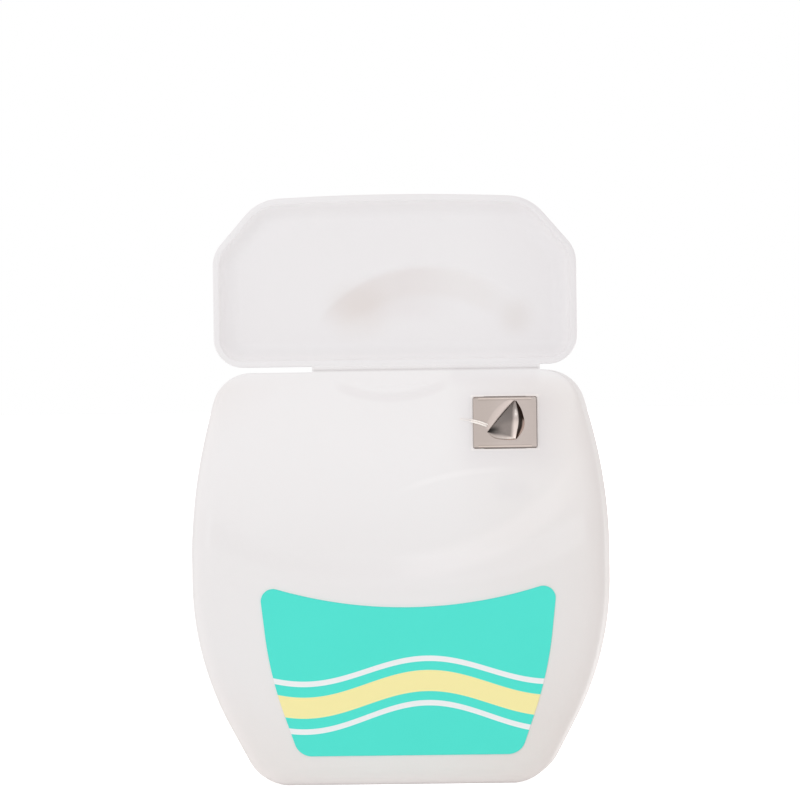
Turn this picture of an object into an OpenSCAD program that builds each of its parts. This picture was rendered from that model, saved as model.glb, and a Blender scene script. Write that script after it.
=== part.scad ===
// Flip-top dental floss dispenser: a case of two shells, a lid on a moulded hinge, a steel
// cutter on the front deck, and a spool of floss on a spindle inside.
// The front faces -Y and up is +Z. The origin is the middle of the flat base.
// The lid is drawn fully open, standing above the case in line with its front.

/* [Case] */
// Width of the case at its widest
case_w = 51.4; // [50:0.1:54]
// Height of the case
case_h = 50.35; // [49:0.05:53]
// Depth from the rear face to the lower front face
case_d = 20; // [19:0.1:23]
// Width of the base, between its corners
base_w = 34.7; // [32:0.1:36]
// Width of the top, between its corners
top_w = 43.4; // [42:0.1:45]
// Height of the blunt corner low on each side
low_side_z = 15.6; // [14:0.1:16]
// Height of the blunt corner high on each side
high_side_z = 37.1; // [35:0.1:37.5]
// Radius of the two bottom corners
base_corner_r = 5.8; // [4.4:0.1:6.4]
// Radius of the two top corners
top_corner_r = 4.9; // [4:0.1:5.4]
// Wall of the two shells
wall = 1.2; // [1:0.05:1.3]
// Rounding between the sides and the faces
edge_r = 2.4; // [1.8:0.1:2.6]
// Rounding of the top front edge, along the hinge
hinge_edge_r = 0.15; // [0.1:0.05:0.4]
// Height over which the front rounding fades into the hinge edge
edge_fade = 9; // [6:0.5:12]
// How far the sides draw in from the parting line to a face
draft = 0.45; // [0.3:0.05:0.6]
// How far a face drops from its middle to its sides
crown = 0.3; // [0.1:0.05:0.5]
// Distance of the parting line behind the middle of the case
part_y = 1.5; // [0:0.1:3]
// Height of the lip that locates one shell in the other
lip_h = 1.2; // [0.8:0.1:1.6]
// Gap round the lip
lip_gap = 0.05; // [0.03:0.01:0.1]

/* [Deck] */
// How far the deck under the lid is set back from the lower front
step_d = 1.4; // [1:0.1:1.7]
// Distance of the step's middle below the free edge of the closed lid
step_drop = 3; // [2.8:0.1:4]
// How much higher the step runs at the sides
step_rise = 5; // [3:0.5:6]
// Height over which the step blends
step_band = 5; // [4:0.5:5.5]
// Width of the raised lens at the top of the deck
lens_w = 14.2; // [9:0.1:16]
// Height of the raised lens
lens_h = 1.65; // [1.2:0.05:2.2]
// How far the lens stands proud
lens_t = 0.15; // [0.1:0.05:0.3]
// Distance of the lens below the top of the case
lens_drop = 1.6; // [1.3:0.1:3]
// Radius of the thin rib behind the deck, below the cutter
upper_rib_r = 34.5; // [32:0.5:38]
// Distance of the thin rib below the cutter's middle
upper_rib_drop = 5.7; // [5:0.1:7]
// Width of the thin rib
upper_rib_w = 0.5; // [0.3:0.1:1]
// Radius of the broad rib behind the deck
lower_rib_r = 27; // [25:0.5:30]
// Height of the broad rib above the step's middle
lower_rib_rise = 0.8; // [0.4:0.1:1.5]
// Width of the broad rib
lower_rib_w = 1.6; // [1:0.1:2]
// Distance of the ribs' free edge from the spool
rib_play = 1.1; // [1:0.05:1.2]

/* [Lid and hinge] */
// Width of the lid
lid_w = 44.3; // [43:0.1:45]
// Height of the lid, from hinge side to free edge
lid_h = 21.2; // [20:0.1:22]
// Depth of the lid
lid_d = 3.6; // [3.2:0.1:4.2]
// Wall of the lid
lid_wall = 1; // [0.8:0.05:1.2]
// Width of the bevel across each free corner of the lid
bevel_w = 5.65; // [5:0.05:8]
// Height of the bevel across each free corner
bevel_h = 7.3; // [5.5:0.1:8]
// Rise of the free edge in its middle
crest_h = 0.75; // [0.3:0.05:0.8]
// Radius of the lid's corners beside the hinge
lid_corner_r = 3.5; // [3.2:0.1:4.4]
// Radius of the lower end of each bevel
bevel_low_r = 4; // [2:0.1:4.5]
// Radius of the upper end of each bevel
bevel_high_r = 5.8; // [4:0.1:6.2]
// Radius of the free edge's crest
crest_r = 290; // [200:10:300]
// Rounding of the lid's outer edge
lid_edge_r = 1.5; // [1:0.1:1.8]
// Rounding between the lid's wall and its floor
lid_fillet = 1.6; // [1:0.1:1.8]
// Width of the hinge web
web_w = 27.8; // [22:0.1:30]
// Distance of the web's middle from the middle of the case
web_x = 3.7; // [0:0.1:4.5]
// Thickness of the web
web_t = 0.3; // [0.25:0.05:0.35]
// Gap between case and lid that the web bridges
hinge_gap = 0.69; // [0.6:0.01:0.9]
// Gap between the closed lid's rim and the deck
rim_gap = 0.2; // [0.15:0.01:0.3]
// Width of the arched hollow in the lid's floor
arch_w = 25.6; // [20:0.1:28]
// Height of the arched hollow
arch_h = 5.6; // [4:0.1:7]
// Distance of the arched hollow from the lid's hinge side
arch_rise = 6.9; // [6:0.1:8]
// Depth of the arched hollow
arch_t = 0.25; // [0.15:0.05:0.35]
// Width of the slope along the hollow's arched edge
arch_edge = 1; // [0.5:0.1:2]
// Height over which the hollow fades towards the hinge
arch_fade = 4; // [2:0.1:6]

/* [Cutter] */
// Width of the cutter plate
cutter_w = 7.8; // [7:0.1:9]
// Height of the cutter plate
cutter_h = 6.3; // [6:0.1:7.2]
// Thickness of the steel
cutter_t = 0.3; // [0.25:0.05:0.4]
// Distance of the cutter's middle from the middle of the case
cutter_x = 13.25; // [12:0.05:14]
// Distance of the cutter's middle below the top of the case
cutter_drop = 6.4; // [5.6:0.1:7]
// Width of the legs that pass through the deck
leg_w = 5; // [4:0.1:5.6]
// How far the legs reach behind the deck's wall
leg_reach = 0.6; // [0.4:0.1:0.8]
// Gap round each leg in its slot
leg_gap = 0.05; // [0.03:0.01:0.1]
// Outer radius of the bends at the legs
bend_r = 0.45; // [0.4:0.05:0.6]
// Height of the tooth above the plate
tooth_h = 1.1; // [0.8:0.1:1.3]
// Radius of the outlet in the deck, behind the tooth
outlet_r = 0.9; // [0.7:0.05:1]

/* [Spool and floss] */
// Space between the flanges and the inside of the base
base_play = 3.3; // [3:0.1:4]
// Space between the flanges and the top of the case
top_play = 7.8; // [7.5:0.1:8.5]
// Thickness of a flange
flange_t = 0.8; // [0.6:0.1:1]
// How far the winding lies inside the flanges
winding_inset = 2; // [1.5:0.1:4]
// Outer radius of the spool's hub
hub_r = 6; // [5.5:0.1:7]
// Radius of the spindle
spindle_r = 4; // [3.5:0.1:4.3]
// Radial running clearance between spindle and spool
run_gap = 0.05; // [0.03:0.01:0.09]
// Side play of the spool on its spindle
side_play = 0.2; // [0.15:0.05:0.3]
// Space between the spool and the deck's inner side
deck_play = 1.5; // [1.4:0.05:1.7]
// Thickness of the snap head on the spindle
head_t = 0.7; // [0.6:0.05:0.8]
// How far the snap head stands out past the spool's bore
head_grip = 0.35; // [0.2:0.05:0.5]
// Width of the slot that lets the snap head close
snap_slot_w = 1; // [0.8:0.1:1.4]
// Length of the slot
snap_slot_l = 5; // [4:0.5:6]
// Diameter of the floss
floss_d = 0.5; // [0.4:0.05:0.6]
// Gap between the winding and the strand that leaves it
winding_gap = 0.1; // [0.05:0.01:0.15]
// How far the free end of the floss reaches to the left of the cutter's middle
tail_x = 5.5; // [4.8:0.1:7]
// How far the free end lies above the cutter's middle
tail_rise = 0.4; // [0:0.1:1]

/* [Carrier] */
// Thickness of the carrier plate
carrier_t = 0.8; // [0.7:0.05:0.9]
// How far the carrier plate lies inside the flanges
carrier_inset = 1; // [0.5:0.1:3]
// Height of the pads that hold the carrier off the rear shell
pad_h = 0.65; // [0.6:0.05:0.8]
// Radius of a pad
pad_r = 2.2; // [2:0.1:2.6]
// Radius of the pegs that locate the carrier
peg_r = 1.2; // [1:0.1:1.4]
// Gap round each peg
peg_gap = 0.05; // [0.03:0.01:0.1]
// Radius of the guide post
post_r = 1.6; // [1.5:0.1:1.9]
// Radius of the eye in the guide post
eye_r = 0.7; // [0.6:0.05:0.8]
// Distance of the guide post from the outlet, across
post_dx = 2.2; // [1.8:0.1:2.6]
// Distance of the guide post from the outlet, down
post_dz = 2.2; // [1.8:0.1:2.4]
// Distance of the eye behind the inside of the deck
eye_depth = 5.4; // [4.5:0.1:6]
// Width of the arm that carries the guide post
arm_w = 4; // [3.4:0.1:5]

/* [Labels] */
// Thickness of a label
label_t = 0.1; // [0.08:0.01:0.15]
// Width of the front label between its top corners
label_w = 36.4; // [34:0.1:38]
// Width of the front label half way down
label_mid_w = 33.9; // [32:0.1:35]
// Width of the front label between its bottom corners
label_base_w = 27; // [25:0.1:28]
// Height of the front label at its corners
label_h = 21; // [19:0.1:21.2]
// Height of the middle of the front label's sides
label_mid_h = 10; // [9:0.1:11]
// Dip of the front label's top edge
label_dip = 5.4; // [4:0.1:6]
// Height of the front label's bottom edge above the base
label_z = 3.63; // [3.4:0.01:4]
// Distance of the front label from the middle of the case
label_x = 1.2; // [0:0.1:2]
// Turn of the front label, as it was stuck on
label_turn = 0; // [0:0.1:1]
// Radius of the front label's top corners
label_top_r = 1.5; // [1:0.1:2]
// Radius of the front label's bottom corners
label_base_r = 2.2; // [1.5:0.1:3]
// Width of the rear label
rear_label_w = 30; // [26:0.5:32]
// Height of the rear label
rear_label_h = 24; // [20:0.5:26]
// Radius of the rear label's corners
rear_label_r = 2; // [1:0.1:3]

/* [Hidden] */
$fn = 64;

// How far one solid runs into or past another where it is joined or cut
overrun = 0.3;

// Gap between a label and the face under it, and the strips that the label is curved in
glue_gap = 0.02;
band_steps = 16;

// Facets of a whole rib circle, and the headings between which each rib runs round its centre
rib_facets = 180;
upper_rib_span = [80, 112];
lower_rib_span = [266, 316];

// Sides of the floss, and the direction that they are laid out from
floss_sides = 8;
floss_lean = [0.1, 0.2, 1];

white = [0.92, 0.91, 0.92];
inner_white = [0.86, 0.86, 0.84];
steel = [0.74, 0.70, 0.67];
floss_white = [0.96, 0.96, 0.93];
teal = [0.33, 0.88, 0.82];
paper = [0.95, 0.96, 0.96];

// Shares of a side's length that its blunt corners round off
low_side_share = 0.44;
high_side_share = 0.42;
// Shares of the front label's edges that its curved top and its bowed sides take
label_top_share = 0.87;
label_mid_share = 0.45;
// Shares of the way from the middle of a face to its border, where its rings lie
front_face_shares = [0.08, 0.14, 0.2, 0.26, 0.33, 0.42, 0.54, 0.68, 0.82, 0.93];
plain_face_shares = [0.3, 0.6, 0.85];
lid_floor_shares = [0.14, 0.28, 0.42, 0.56, 0.7, 0.85];

face_half = case_w / 2 - draft - edge_r;
mid_z = case_h / 2;
front_middle_share = 0.66;
front_mid_z = case_h * front_middle_share;
lower_front = case_d / 2;
deck_front = lower_front - step_d;
lid_edge_z = case_h - lid_h;
step_z = lid_edge_z - step_drop;
lip_inset = wall / 2;
inner_edge_r = edge_r / 6;
lid_z = case_h + hinge_gap;
lid_middle_share = 0.4;
lid_mid_z = lid_z + lid_h * lid_middle_share;

carrier_back = lower_front - wall - pad_h;
carrier_front = carrier_back - carrier_t;
spool_back = carrier_front - side_play;
spool_front = -(deck_front - wall - deck_play);
flange_r = (case_h - wall - base_play - top_play) / 2;
winding_r = flange_r - winding_inset;
carrier_r = flange_r - carrier_inset;
spool_z = wall + base_play + flange_r;
spool_mid_y = (spool_back + spool_front) / 2;
head_back = spool_front - side_play;
head_front = head_back - head_t;
spindle_bore_r = spindle_r - wall;

cutter_z = case_h - cutter_drop;
plate_front = -deck_front - cutter_t;
// Corners of the tooth on the plate, from the plate's middle, as shares of half its size
tooth_top_share = [0.30, 0.74];
tooth_left_share = [-0.53, -0.43];
tooth_base_share = [0.35, -0.70];
tooth_side_share = [0.63, -0.16];
tooth_ridge_share = [0.31, -0.02];
outlet_share = [0.04, -0.14];
mouth_share = [-0.56, -0.16];
// How much of the tooth's outline and height is hollow
hollow_share = 0.7;
hollow_height_share = 0.6;
function on_plate(share) = [cutter_x + share.x * cutter_w / 2, cutter_z + share.y * cutter_h / 2];
outlet = on_plate(outlet_share);
post = [outlet.x - post_dx, outlet.y - post_dz];
eye_y = -deck_front + wall + eye_depth;

// Directions and outlines. An outline is a list of [point, outward normal].
function right_of(heading) = [sin(heading), -cos(heading)];
function heading(a, b) = atan2(b.y - a.y, b.x - a.x);
function wrap(angle) = angle - 360 * round(angle / 360);
function xy(corner) = [corner.x, corner.y];
function turn_at(a, b, c) = wrap(heading(b, c) - heading(a, b));

// One corner, [x, z, radius, steps], rounded between its neighbours
function rounded_corner(a, b, c) =
    let (from = heading(xy(a), xy(b)), turn = turn_at(xy(a), xy(b), xy(c)), side = sign(turn),
        reach = b[2] * tan(abs(turn) / 2),
        start = xy(b) - reach * [cos(from), sin(from)],
        centre = start - side * b[2] * right_of(from))
    [for (k = [0 : b[3]]) let (out = right_of(from + turn * k / max(b[3], 1)))
        [centre + side * b[2] * out, out]];

function rounded(corners) = let (n = len(corners))
    [for (i = [0 : n - 1]) each rounded_corner(corners[(i + n - 1) % n], corners[i],
        corners[(i + 1) % n])];

function flip(corner) = [-corner.x, corner.y, corner[2], corner[3]];
function both_sides(half) =
    concat(half, [for (i = [len(half) - 1 : -1 : 0]) if (half[i].x != 0) flip(half[i])]);

// Radius that takes a share of the edge from b to c at corner b
function blunt_r(a, b, c, share) = share * norm(c - b) / tan(abs(turn_at(a, b, c)) / 2);

base_corner = [base_w / 2, 0];
low_corner = [case_w / 2, low_side_z];
high_corner = [case_w / 2, high_side_z];
top_corner = [top_w / 2, case_h];
low_side_r = blunt_r(base_corner, low_corner, high_corner, low_side_share);
high_side_r = blunt_r(top_corner, high_corner, low_corner, high_side_share);

case_outline = rounded(both_sides([
    [0, 0, 0, 0],
    [base_w / 4, 0, 0, 0],
    [base_corner.x, base_corner.y, base_corner_r, 6],
    [low_corner.x, low_corner.y, low_side_r, 9],
    [high_corner.x, high_corner.y, high_side_r, 8],
    [top_corner.x, top_corner.y, top_corner_r, 6],
    [top_w / 4, case_h, 0, 0],
    [0, case_h, 0, 0]]));

lid_outline = rounded(both_sides([
    [0, lid_z, 0, 0],
    [lid_w / 4, lid_z, 0, 0],
    [lid_w / 2, lid_z, lid_corner_r, 6],
    [lid_w / 2, lid_z + lid_h - bevel_h, bevel_low_r, 3],
    [lid_w / 2 - bevel_w, lid_z + lid_h - crest_h, bevel_high_r, 4],
    [0, lid_z + lid_h, crest_r, 4]]));

// Depth of the faces, each counted from the middle of the case
function ease(t) = let (c = min(max(t, 0), 1)) c * c * (3 - 2 * c);
function drop(x) = crown * pow(2 * x / case_w, 2);
function step_height(x) = step_z + step_rise * pow(abs(x) / face_half, 3);
function below_step(p) = ease((step_height(p.x) - p.y) / step_band + 1 / 2);
function front_depth(p) = deck_front + below_step(p) * (step_d - drop(p.x));
function rear_depth(p) = lower_front - drop(p.x);
function front_edge(p) =
    hinge_edge_r + (edge_r - hinge_edge_r) * ease((case_h - p.y) / edge_fade);

// Rings of points. An outline point moves in by an inset, and a depth gives its y.
function inside(o, inset) = o[0] - inset * o[1];
function at_y(p, y) = [p.x, y, p.y];
function flat_ring(outline, inset, y) = [for (o = outline) at_y(inside(o, inset), y)];
function towards(middle, p, share) = middle + (p - middle) * share;

// The front and rear skins of a shell, from the middle of the face to the side.
// skin is how far the surface lies inside the outer one: 0, or the wall.
function skin_edge(o, skin) = max(front_edge(o[0]) - skin, min(inner_edge_r, front_edge(o[0])));
function drawn_in(o) = draft * abs(o[1].x);
function front_border(o, skin) = inside(o, drawn_in(o) + skin + skin_edge(o, skin));
function front_face_ring(skin, share) = [for (o = case_outline)
    let (p = towards([0, front_mid_z], front_border(o, skin), share))
    at_y(p, skin - front_depth(p))];
function front_edge_ring(skin, angle) = [for (o = case_outline)
    let (r = skin_edge(o, skin), y = skin - front_depth(front_border(o, skin)))
    at_y(inside(o, drawn_in(o) + skin + r * (1 - cos(angle))), y + r * (1 - sin(angle)))];
function rear_edge(skin) = edge_r - skin;
function rear_border(o, skin) = inside(o, drawn_in(o) + skin + rear_edge(skin));
function rear_face_ring(skin, share) = [for (o = case_outline)
    let (p = towards([0, mid_z], rear_border(o, skin), share)) at_y(p, rear_depth(p) - skin)];
function rear_edge_ring(skin, angle) = [for (o = case_outline)
    let (r = rear_edge(skin), y = rear_depth(rear_border(o, skin)) - skin)
    at_y(inside(o, drawn_in(o) + skin + r * (1 - cos(angle))), y - r * (1 - sin(angle)))];
function reversed(list) = [for (i = [len(list) - 1 : -1 : 0]) list[i]];

// A closed skin through rings of equal count, from a first middle point to a last one.
// Its outside is towards -Y at the first point, or towards +Y where outward is 1.
module loft(first, rings, last, outward = -1) {
    n = len(rings[0]);
    m = len(rings);
    end = 1 + m * n;
    points = concat([first], [for (r = rings) each r], [last]);
    faces = concat(
        [for (i = [0 : n - 1]) [0, 1 + (i + 1) % n, 1 + i]],
        [for (j = [0 : m - 2], i = [0 : n - 1])
            let (a = 1 + j * n + i, b = 1 + j * n + (i + 1) % n) each [[a, b, b + n], [a, b + n, a + n]]],
        [for (i = [0 : n - 1]) let (a = end - n + i, b = end - n + (i + 1) % n) [a, b, end]]);
    polyhedron(points, outward < 0 ? faces : [for (f = faces) reversed(f)]);
}

// A cylinder along Y at [x, z], from one depth to another
module rod(p, r, from, to) {
    translate([p.x, from, p.y]) rotate([-90, 0, 0]) cylinder(r = r, h = to - from);
}

// A flat shape in X and Z, from one depth to another
module slab(from, to) {
    translate([0, to, 0]) rotate([90, 0, 0]) linear_extrude(to - from) children();
}

module front_skin() {
    rebate_y = part_y - lip_h - lip_gap;
    rings = concat(
        [for (s = front_face_shares) front_face_ring(0, s)],
        [for (a = [90, 60, 30, 0]) front_edge_ring(0, a)],
        [flat_ring(case_outline, 0, part_y), flat_ring(case_outline, lip_inset, part_y),
            flat_ring(case_outline, lip_inset, rebate_y), flat_ring(case_outline, wall, rebate_y)],
        [for (a = [0, 45, 90]) front_edge_ring(wall, a)],
        [for (s = reversed(front_face_shares)) front_face_ring(wall, s)]);
    middle = [0, front_mid_z];
    loft(at_y(middle, -front_depth(middle)), rings, at_y(middle, wall - front_depth(middle)));
}

module rear_skin() {
    lip_top = part_y - lip_h;
    rings = concat(
        [for (s = plain_face_shares) rear_face_ring(0, s)],
        [for (a = [90, 60, 30, 0]) rear_edge_ring(0, a)],
        [flat_ring(case_outline, 0, part_y), flat_ring(case_outline, lip_inset + lip_gap, part_y),
            flat_ring(case_outline, lip_inset + lip_gap, lip_top),
            flat_ring(case_outline, wall, lip_top)],
        [for (a = [0, 45, 90]) rear_edge_ring(wall, a)],
        [for (s = reversed(plain_face_shares)) rear_face_ring(wall, s)]);
    middle = [0, mid_z];
    loft(at_y(middle, rear_depth(middle)), rings, at_y(middle, rear_depth(middle) - wall), 1);
}

// A segment of a disc below its flat side, of width w and height h
module lens(w, h) {
    r = (w * w / 4 + h * h) / (2 * h);
    intersection() {
        translate([0, r - h]) circle(r);
        translate([-w / 2, -h - overrun]) square([w, h + overrun]);
    }
}

// A rib inside the deck along an arc, over a span of headings round its centre
module curved_rib(centre, r, span, width) {
    rotate([90, 0, 0]) translate([centre.x, centre.y, rib_play - spool_front])
        rotate([0, 0, span[0]]) rotate_extrude(angle = span[1] - span[0], $fn = rib_facets)
            translate([r - width / 2, 0]) square([width, deck_play - rib_play + wall / 2]);
}

module leg_slot(z) {
    translate([cutter_x - leg_w / 2 - leg_gap, -deck_front - overrun, z - cutter_t / 2 - leg_gap])
        cube([leg_w + 2 * leg_gap, wall + 2 * overrun, cutter_t + 2 * leg_gap]);
}

leg_z = cutter_h / 2 - cutter_t / 2;

module front_shell() color(white) difference() {
    union() {
        front_skin();
        // Raised lens under the hinge
        translate([0, 0, case_h - lens_drop]) slab(-deck_front - lens_t, -deck_front + overrun)
            lens(lens_w, lens_h);
        // Ribs that lead the floss from the spool to the outlet
        curved_rib([cutter_x, cutter_z - upper_rib_drop - upper_rib_r], upper_rib_r,
            upper_rib_span, upper_rib_w);
        curved_rib([0, step_z + lower_rib_rise + lower_rib_r], lower_rib_r, lower_rib_span,
            lower_rib_w);
    }
    rod(outlet, outlet_r, -deck_front - overrun, -deck_front + wall + overrun);
    for (s = [-1, 1]) leg_slot(cutter_z + s * leg_z);
}

// Pegs, from the spindle's axis, as shares of the carrier's radius
peg_shares = [[0, -0.65], [-0.5, 0.5]];
pegs = [for (s = peg_shares) [0, spool_z] + s * carrier_r];

module rear_shell() color(white) union() {
    rear_skin();
    for (p = pegs) {
        rod(p, pad_r, carrier_back, lower_front - wall / 2);
        rod(p, peg_r, carrier_front + carrier_t / 4, lower_front - wall / 2);
    }
    rod([0, spool_z], spindle_bore_r - peg_gap, carrier_front - wall, lower_front - wall / 2);
}

// The lid, as it stands open. Its rim lies level with the deck and faces -Y.
rim_y = -deck_front;
function lid_back(p) = rim_y + lid_d - drop(p.x);

// The arched hollow in its floor is in line with the hinge web that the lid is filled through
arch_r = (arch_w * arch_w / 4 + arch_h * arch_h) / (2 * arch_h);
arch_middle = [web_x, lid_z + arch_rise + arch_h - arch_r];
function arch_depth(p) = arch_t * ease((arch_r - norm(p - arch_middle)) / arch_edge)
    * ease((p.y - lid_z - arch_rise) / arch_fade + 1 / 2);
function lid_floor(p) = lid_back(p) - lid_wall + arch_depth(p);
function lid_face_ring(inset, share) = [for (o = lid_outline)
    let (p = towards([0, lid_mid_z], inside(o, inset), share)) at_y(p, lid_back(p))];
function lid_floor_ring(inset, share) = [for (o = lid_outline)
    let (p = towards([0, lid_mid_z], inside(o, inset), share)) at_y(p, lid_floor(p))];
function lid_edge_ring(inset, r, skin, angle) = [for (o = lid_outline)
    at_y(inside(o, inset + r * (1 - cos(angle))),
        lid_back(inside(o, inset + r)) - skin - r * (1 - sin(angle)))];

module lid_skin() {
    rings = concat(
        [for (s = plain_face_shares) lid_face_ring(lid_edge_r, s)],
        [for (a = [90, 60, 30, 0]) lid_edge_ring(0, lid_edge_r, 0, a)],
        [flat_ring(lid_outline, 0, rim_y), flat_ring(lid_outline, lid_wall, rim_y)],
        [for (a = [0, 30, 60, 90]) lid_edge_ring(lid_wall, lid_fillet, lid_wall, a)],
        [for (s = reversed(lid_floor_shares)) lid_floor_ring(lid_wall + lid_fillet, s)]);
    middle = [0, lid_mid_z];
    loft(at_y(middle, lid_back(middle)), rings, at_y(middle, lid_floor(middle)), 1);
}

module lid() color(white) lid_skin();

// A profile in Y and Z, extended across X about a middle
module across(middle, w) {
    translate([middle, 0, 0]) rotate([90, 0, 90]) linear_extrude(w, center = true) children();
}

module hinge_web() color(white) across(web_x, web_w) polygon([
    [rim_y, case_h], [rim_y + web_t, case_h], [rim_y + web_t * 2 / 3, case_h + hinge_gap / 3],
    [rim_y + web_t * 2 / 3, lid_z - hinge_gap / 3], [rim_y + web_t, lid_z], [rim_y, lid_z]]);

// Steel bent into a shallow channel, with its back on the deck and its legs through it
module channel() {
    back = rim_y + wall + leg_reach;
    top = cutter_z + cutter_h / 2;
    low = cutter_z - cutter_h / 2;
    outline = rounded([[back, low, 0, 0], [back, low + cutter_t, 0, 0],
        [rim_y, low + cutter_t, 0, 0], [rim_y, top - cutter_t, 0, 0],
        [back, top - cutter_t, 0, 0], [back, top, 0, 0],
        [plate_front, top, bend_r, 6], [plate_front, low, bend_r, 6]]);
    polygon([for (o = outline) o[0]]);
}

// The tooth's four corners at one depth and its ridge at another, drawn in towards the outlet
module tooth(share, foot_y, ridge_y) {
    corners = [tooth_left_share, tooth_base_share, tooth_side_share, tooth_top_share];
    points = concat(
        [for (c = corners) at_y(towards(outlet, on_plate(c), share), foot_y)],
        [at_y(towards(outlet, on_plate(tooth_ridge_share), share), ridge_y)]);
    polyhedron(points, [[0, 1, 2, 3], [1, 0, 4], [2, 1, 4], [3, 2, 4], [0, 3, 4]]);
}

floss_y = plate_front - floss_d / 2 - cutter_t / 2;
mouth = on_plate(mouth_share);

module cutter() color(steel) difference() {
    union() {
        across(cutter_x, leg_w) channel();
        intersection() {
            across(cutter_x, cutter_w) channel();
            translate([cutter_x - cutter_w, plate_front - overrun, cutter_z - cutter_h])
                cube([2 * cutter_w, cutter_t + overrun, 2 * cutter_h]);
        }
        tooth(1, rim_y - cutter_t / 2, plate_front - tooth_h);
    }
    // Hollow under the tooth, open to the outlet behind it and to the left
    tooth(hollow_share, rim_y + overrun, plate_front - tooth_h * hollow_height_share);
    translate(at_y(outlet, floss_y)) rotate([0, 90 - heading(outlet, mouth), 0])
        cylinder(r = floss_d / 2 + cutter_t / 2, h = cutter_w);
}

module spool() color(inner_white) difference() {
    union() {
        rod([0, spool_z], hub_r, spool_front, spool_back);
        rod([0, spool_z], flange_r, spool_front, spool_front + flange_t);
        rod([0, spool_z], flange_r, spool_back - flange_t, spool_back);
    }
    rod([0, spool_z], spindle_r + run_gap, spool_front - overrun, spool_back + overrun);
}

module floss_winding() color(floss_white) difference() {
    rod([0, spool_z], winding_r, spool_front + flange_t, spool_back - flange_t);
    rod([0, spool_z], hub_r, spool_front, spool_back);
}

// The floss from the top of the winding, through the eye and the outlet, to its free end
floss_route = [
    [0, spool_mid_y, spool_z + winding_r + floss_d / 2 + winding_gap],
    [post.x - post_r * 3, (spool_mid_y + 2 * eye_y) / 3, post.y - winding_gap],
    [post.x - post_r, eye_y, post.y],
    [post.x + post_r, eye_y, post.y],
    [outlet.x - floss_d, eye_y - floss_d * 2, post.y + floss_d],
    [outlet.x, eye_y - floss_d * 5, outlet.y - post_dz / 2],
    [outlet.x, rim_y + wall * 3 / 2, outlet.y - floss_d / 3],
    [outlet.x, rim_y + wall / 2, outlet.y],
    [outlet.x, plate_front, outlet.y],
    [outlet.x - floss_d / 2, floss_y, outlet.y],
    [mouth.x, floss_y, mouth.y],
    [cutter_x - cutter_w / 2, floss_y, cutter_z],
    [cutter_x - cutter_w / 2 - floss_d, floss_y + cutter_t / 2, cutter_z + tail_rise / 3],
    [cutter_x - tail_x, rim_y - floss_d * 2 / 3, cutter_z + tail_rise]];

// Rings of a round tube along a route, each square to the way there
function way(route, i) = let (a = route[max(i - 1, 0)], b = route[min(i + 1, len(route) - 1)])
    (b - a) / norm(b - a);
function tube_ring(p, along, r) =
    let (u = cross(along, floss_lean), v = u / norm(u), w = cross(along, v), step = 360 / floss_sides)
    [for (k = [0 : floss_sides - 1]) p + r * (v * cos(k * step) + w * sin(k * step))];

module floss_lead() color(floss_white) loft(floss_route[0],
    [for (i = [0 : len(floss_route) - 1]) tube_ring(floss_route[i], way(floss_route, i),
        floss_d / 2)], floss_route[len(floss_route) - 1]);

module spool_carrier() color(inner_white) difference() {
    union() {
        rod([0, spool_z], carrier_r, carrier_front, carrier_back);
        rod([0, spool_z], spindle_r, head_front, carrier_back);
        rod([0, spool_z], spindle_r + run_gap + head_grip, head_front, head_back);
        slab(carrier_front, carrier_back) translate([0, spool_z])
            rotate(heading([0, spool_z], post)) translate([0, -arm_w / 2])
                square([norm(post - [0, spool_z]), arm_w]);
        rod(post, arm_w / 2, carrier_front, carrier_back);
        rod(post, post_r, eye_y - post_r, carrier_back);
    }
    rod([0, spool_z], spindle_bore_r, head_front - overrun, carrier_back + overrun);
    translate([-snap_slot_w / 2, head_front - overrun, spool_z - hub_r])
        cube([snap_slot_w, snap_slot_l + overrun, 2 * hub_r]);
    for (p = pegs) rod(p, peg_r + peg_gap, carrier_front - overrun, carrier_back + overrun);
    translate(at_y(post, eye_y)) rotate([0, 90, 0])
        cylinder(r = eye_r, h = 3 * post_r, center = true);
}

// A thin band that follows the crown of a face, in front (-1) or behind (1)
module band(side) {
    half = case_w / 2;
    xs = [for (i = [0 : band_steps]) half * (2 * i / band_steps - 1)];
    function depth(x, lift) = side * (rear_depth([x, 0]) + glue_gap + lift);
    linear_extrude(case_h) polygon(concat([for (x = xs) [x, depth(x, 0)]],
        [for (x = reversed(xs)) [x, depth(x, label_t)]]));
}

module front_label_outline() {
    base = [label_base_w / 2, 0];
    mid = [label_mid_w / 2, label_mid_h];
    top = [label_w / 2, label_h];
    dip = [0, label_h - label_dip];
    half = [[base.x, base.y, label_base_r, 6],
        [mid.x, mid.y, blunt_r(base, mid, top, label_mid_share), 6],
        [top.x, top.y, label_top_r, 6],
        [dip.x, dip.y, blunt_r([-top.x, top.y], dip, top, label_top_share), 16]];
    translate([label_x, label_z]) rotate(-label_turn)
        polygon([for (o = rounded(both_sides(half))) o[0]]);
}

module front_label() color(teal) intersection() {
    band(-1);
    slab(-case_d, 0) front_label_outline();
}

module rear_label() color(paper) intersection() {
    band(1);
    slab(0, case_d) translate([0, mid_z]) polygon([for (o = rounded(both_sides([
        [rear_label_w / 2, -rear_label_h / 2, rear_label_r, 6],
        [rear_label_w / 2, rear_label_h / 2, rear_label_r, 6]]))) o[0]]);
}

front_shell();
rear_shell();
lid();
hinge_web();
cutter();
spool();
floss_winding();
floss_lead();
spool_carrier();
front_label();
rear_label();
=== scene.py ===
# %% [markdown]
# A flip-top box for dental floss, standing on a pale floor with its lid open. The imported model
# holds every piece at its real size and place. This script gives each piece a finer mesh in the
# same place, and a finish. Read it from top to bottom: every step starts with a few sentences that
# say what the thing is on the real object and why it is made the way it is.

import math

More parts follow.
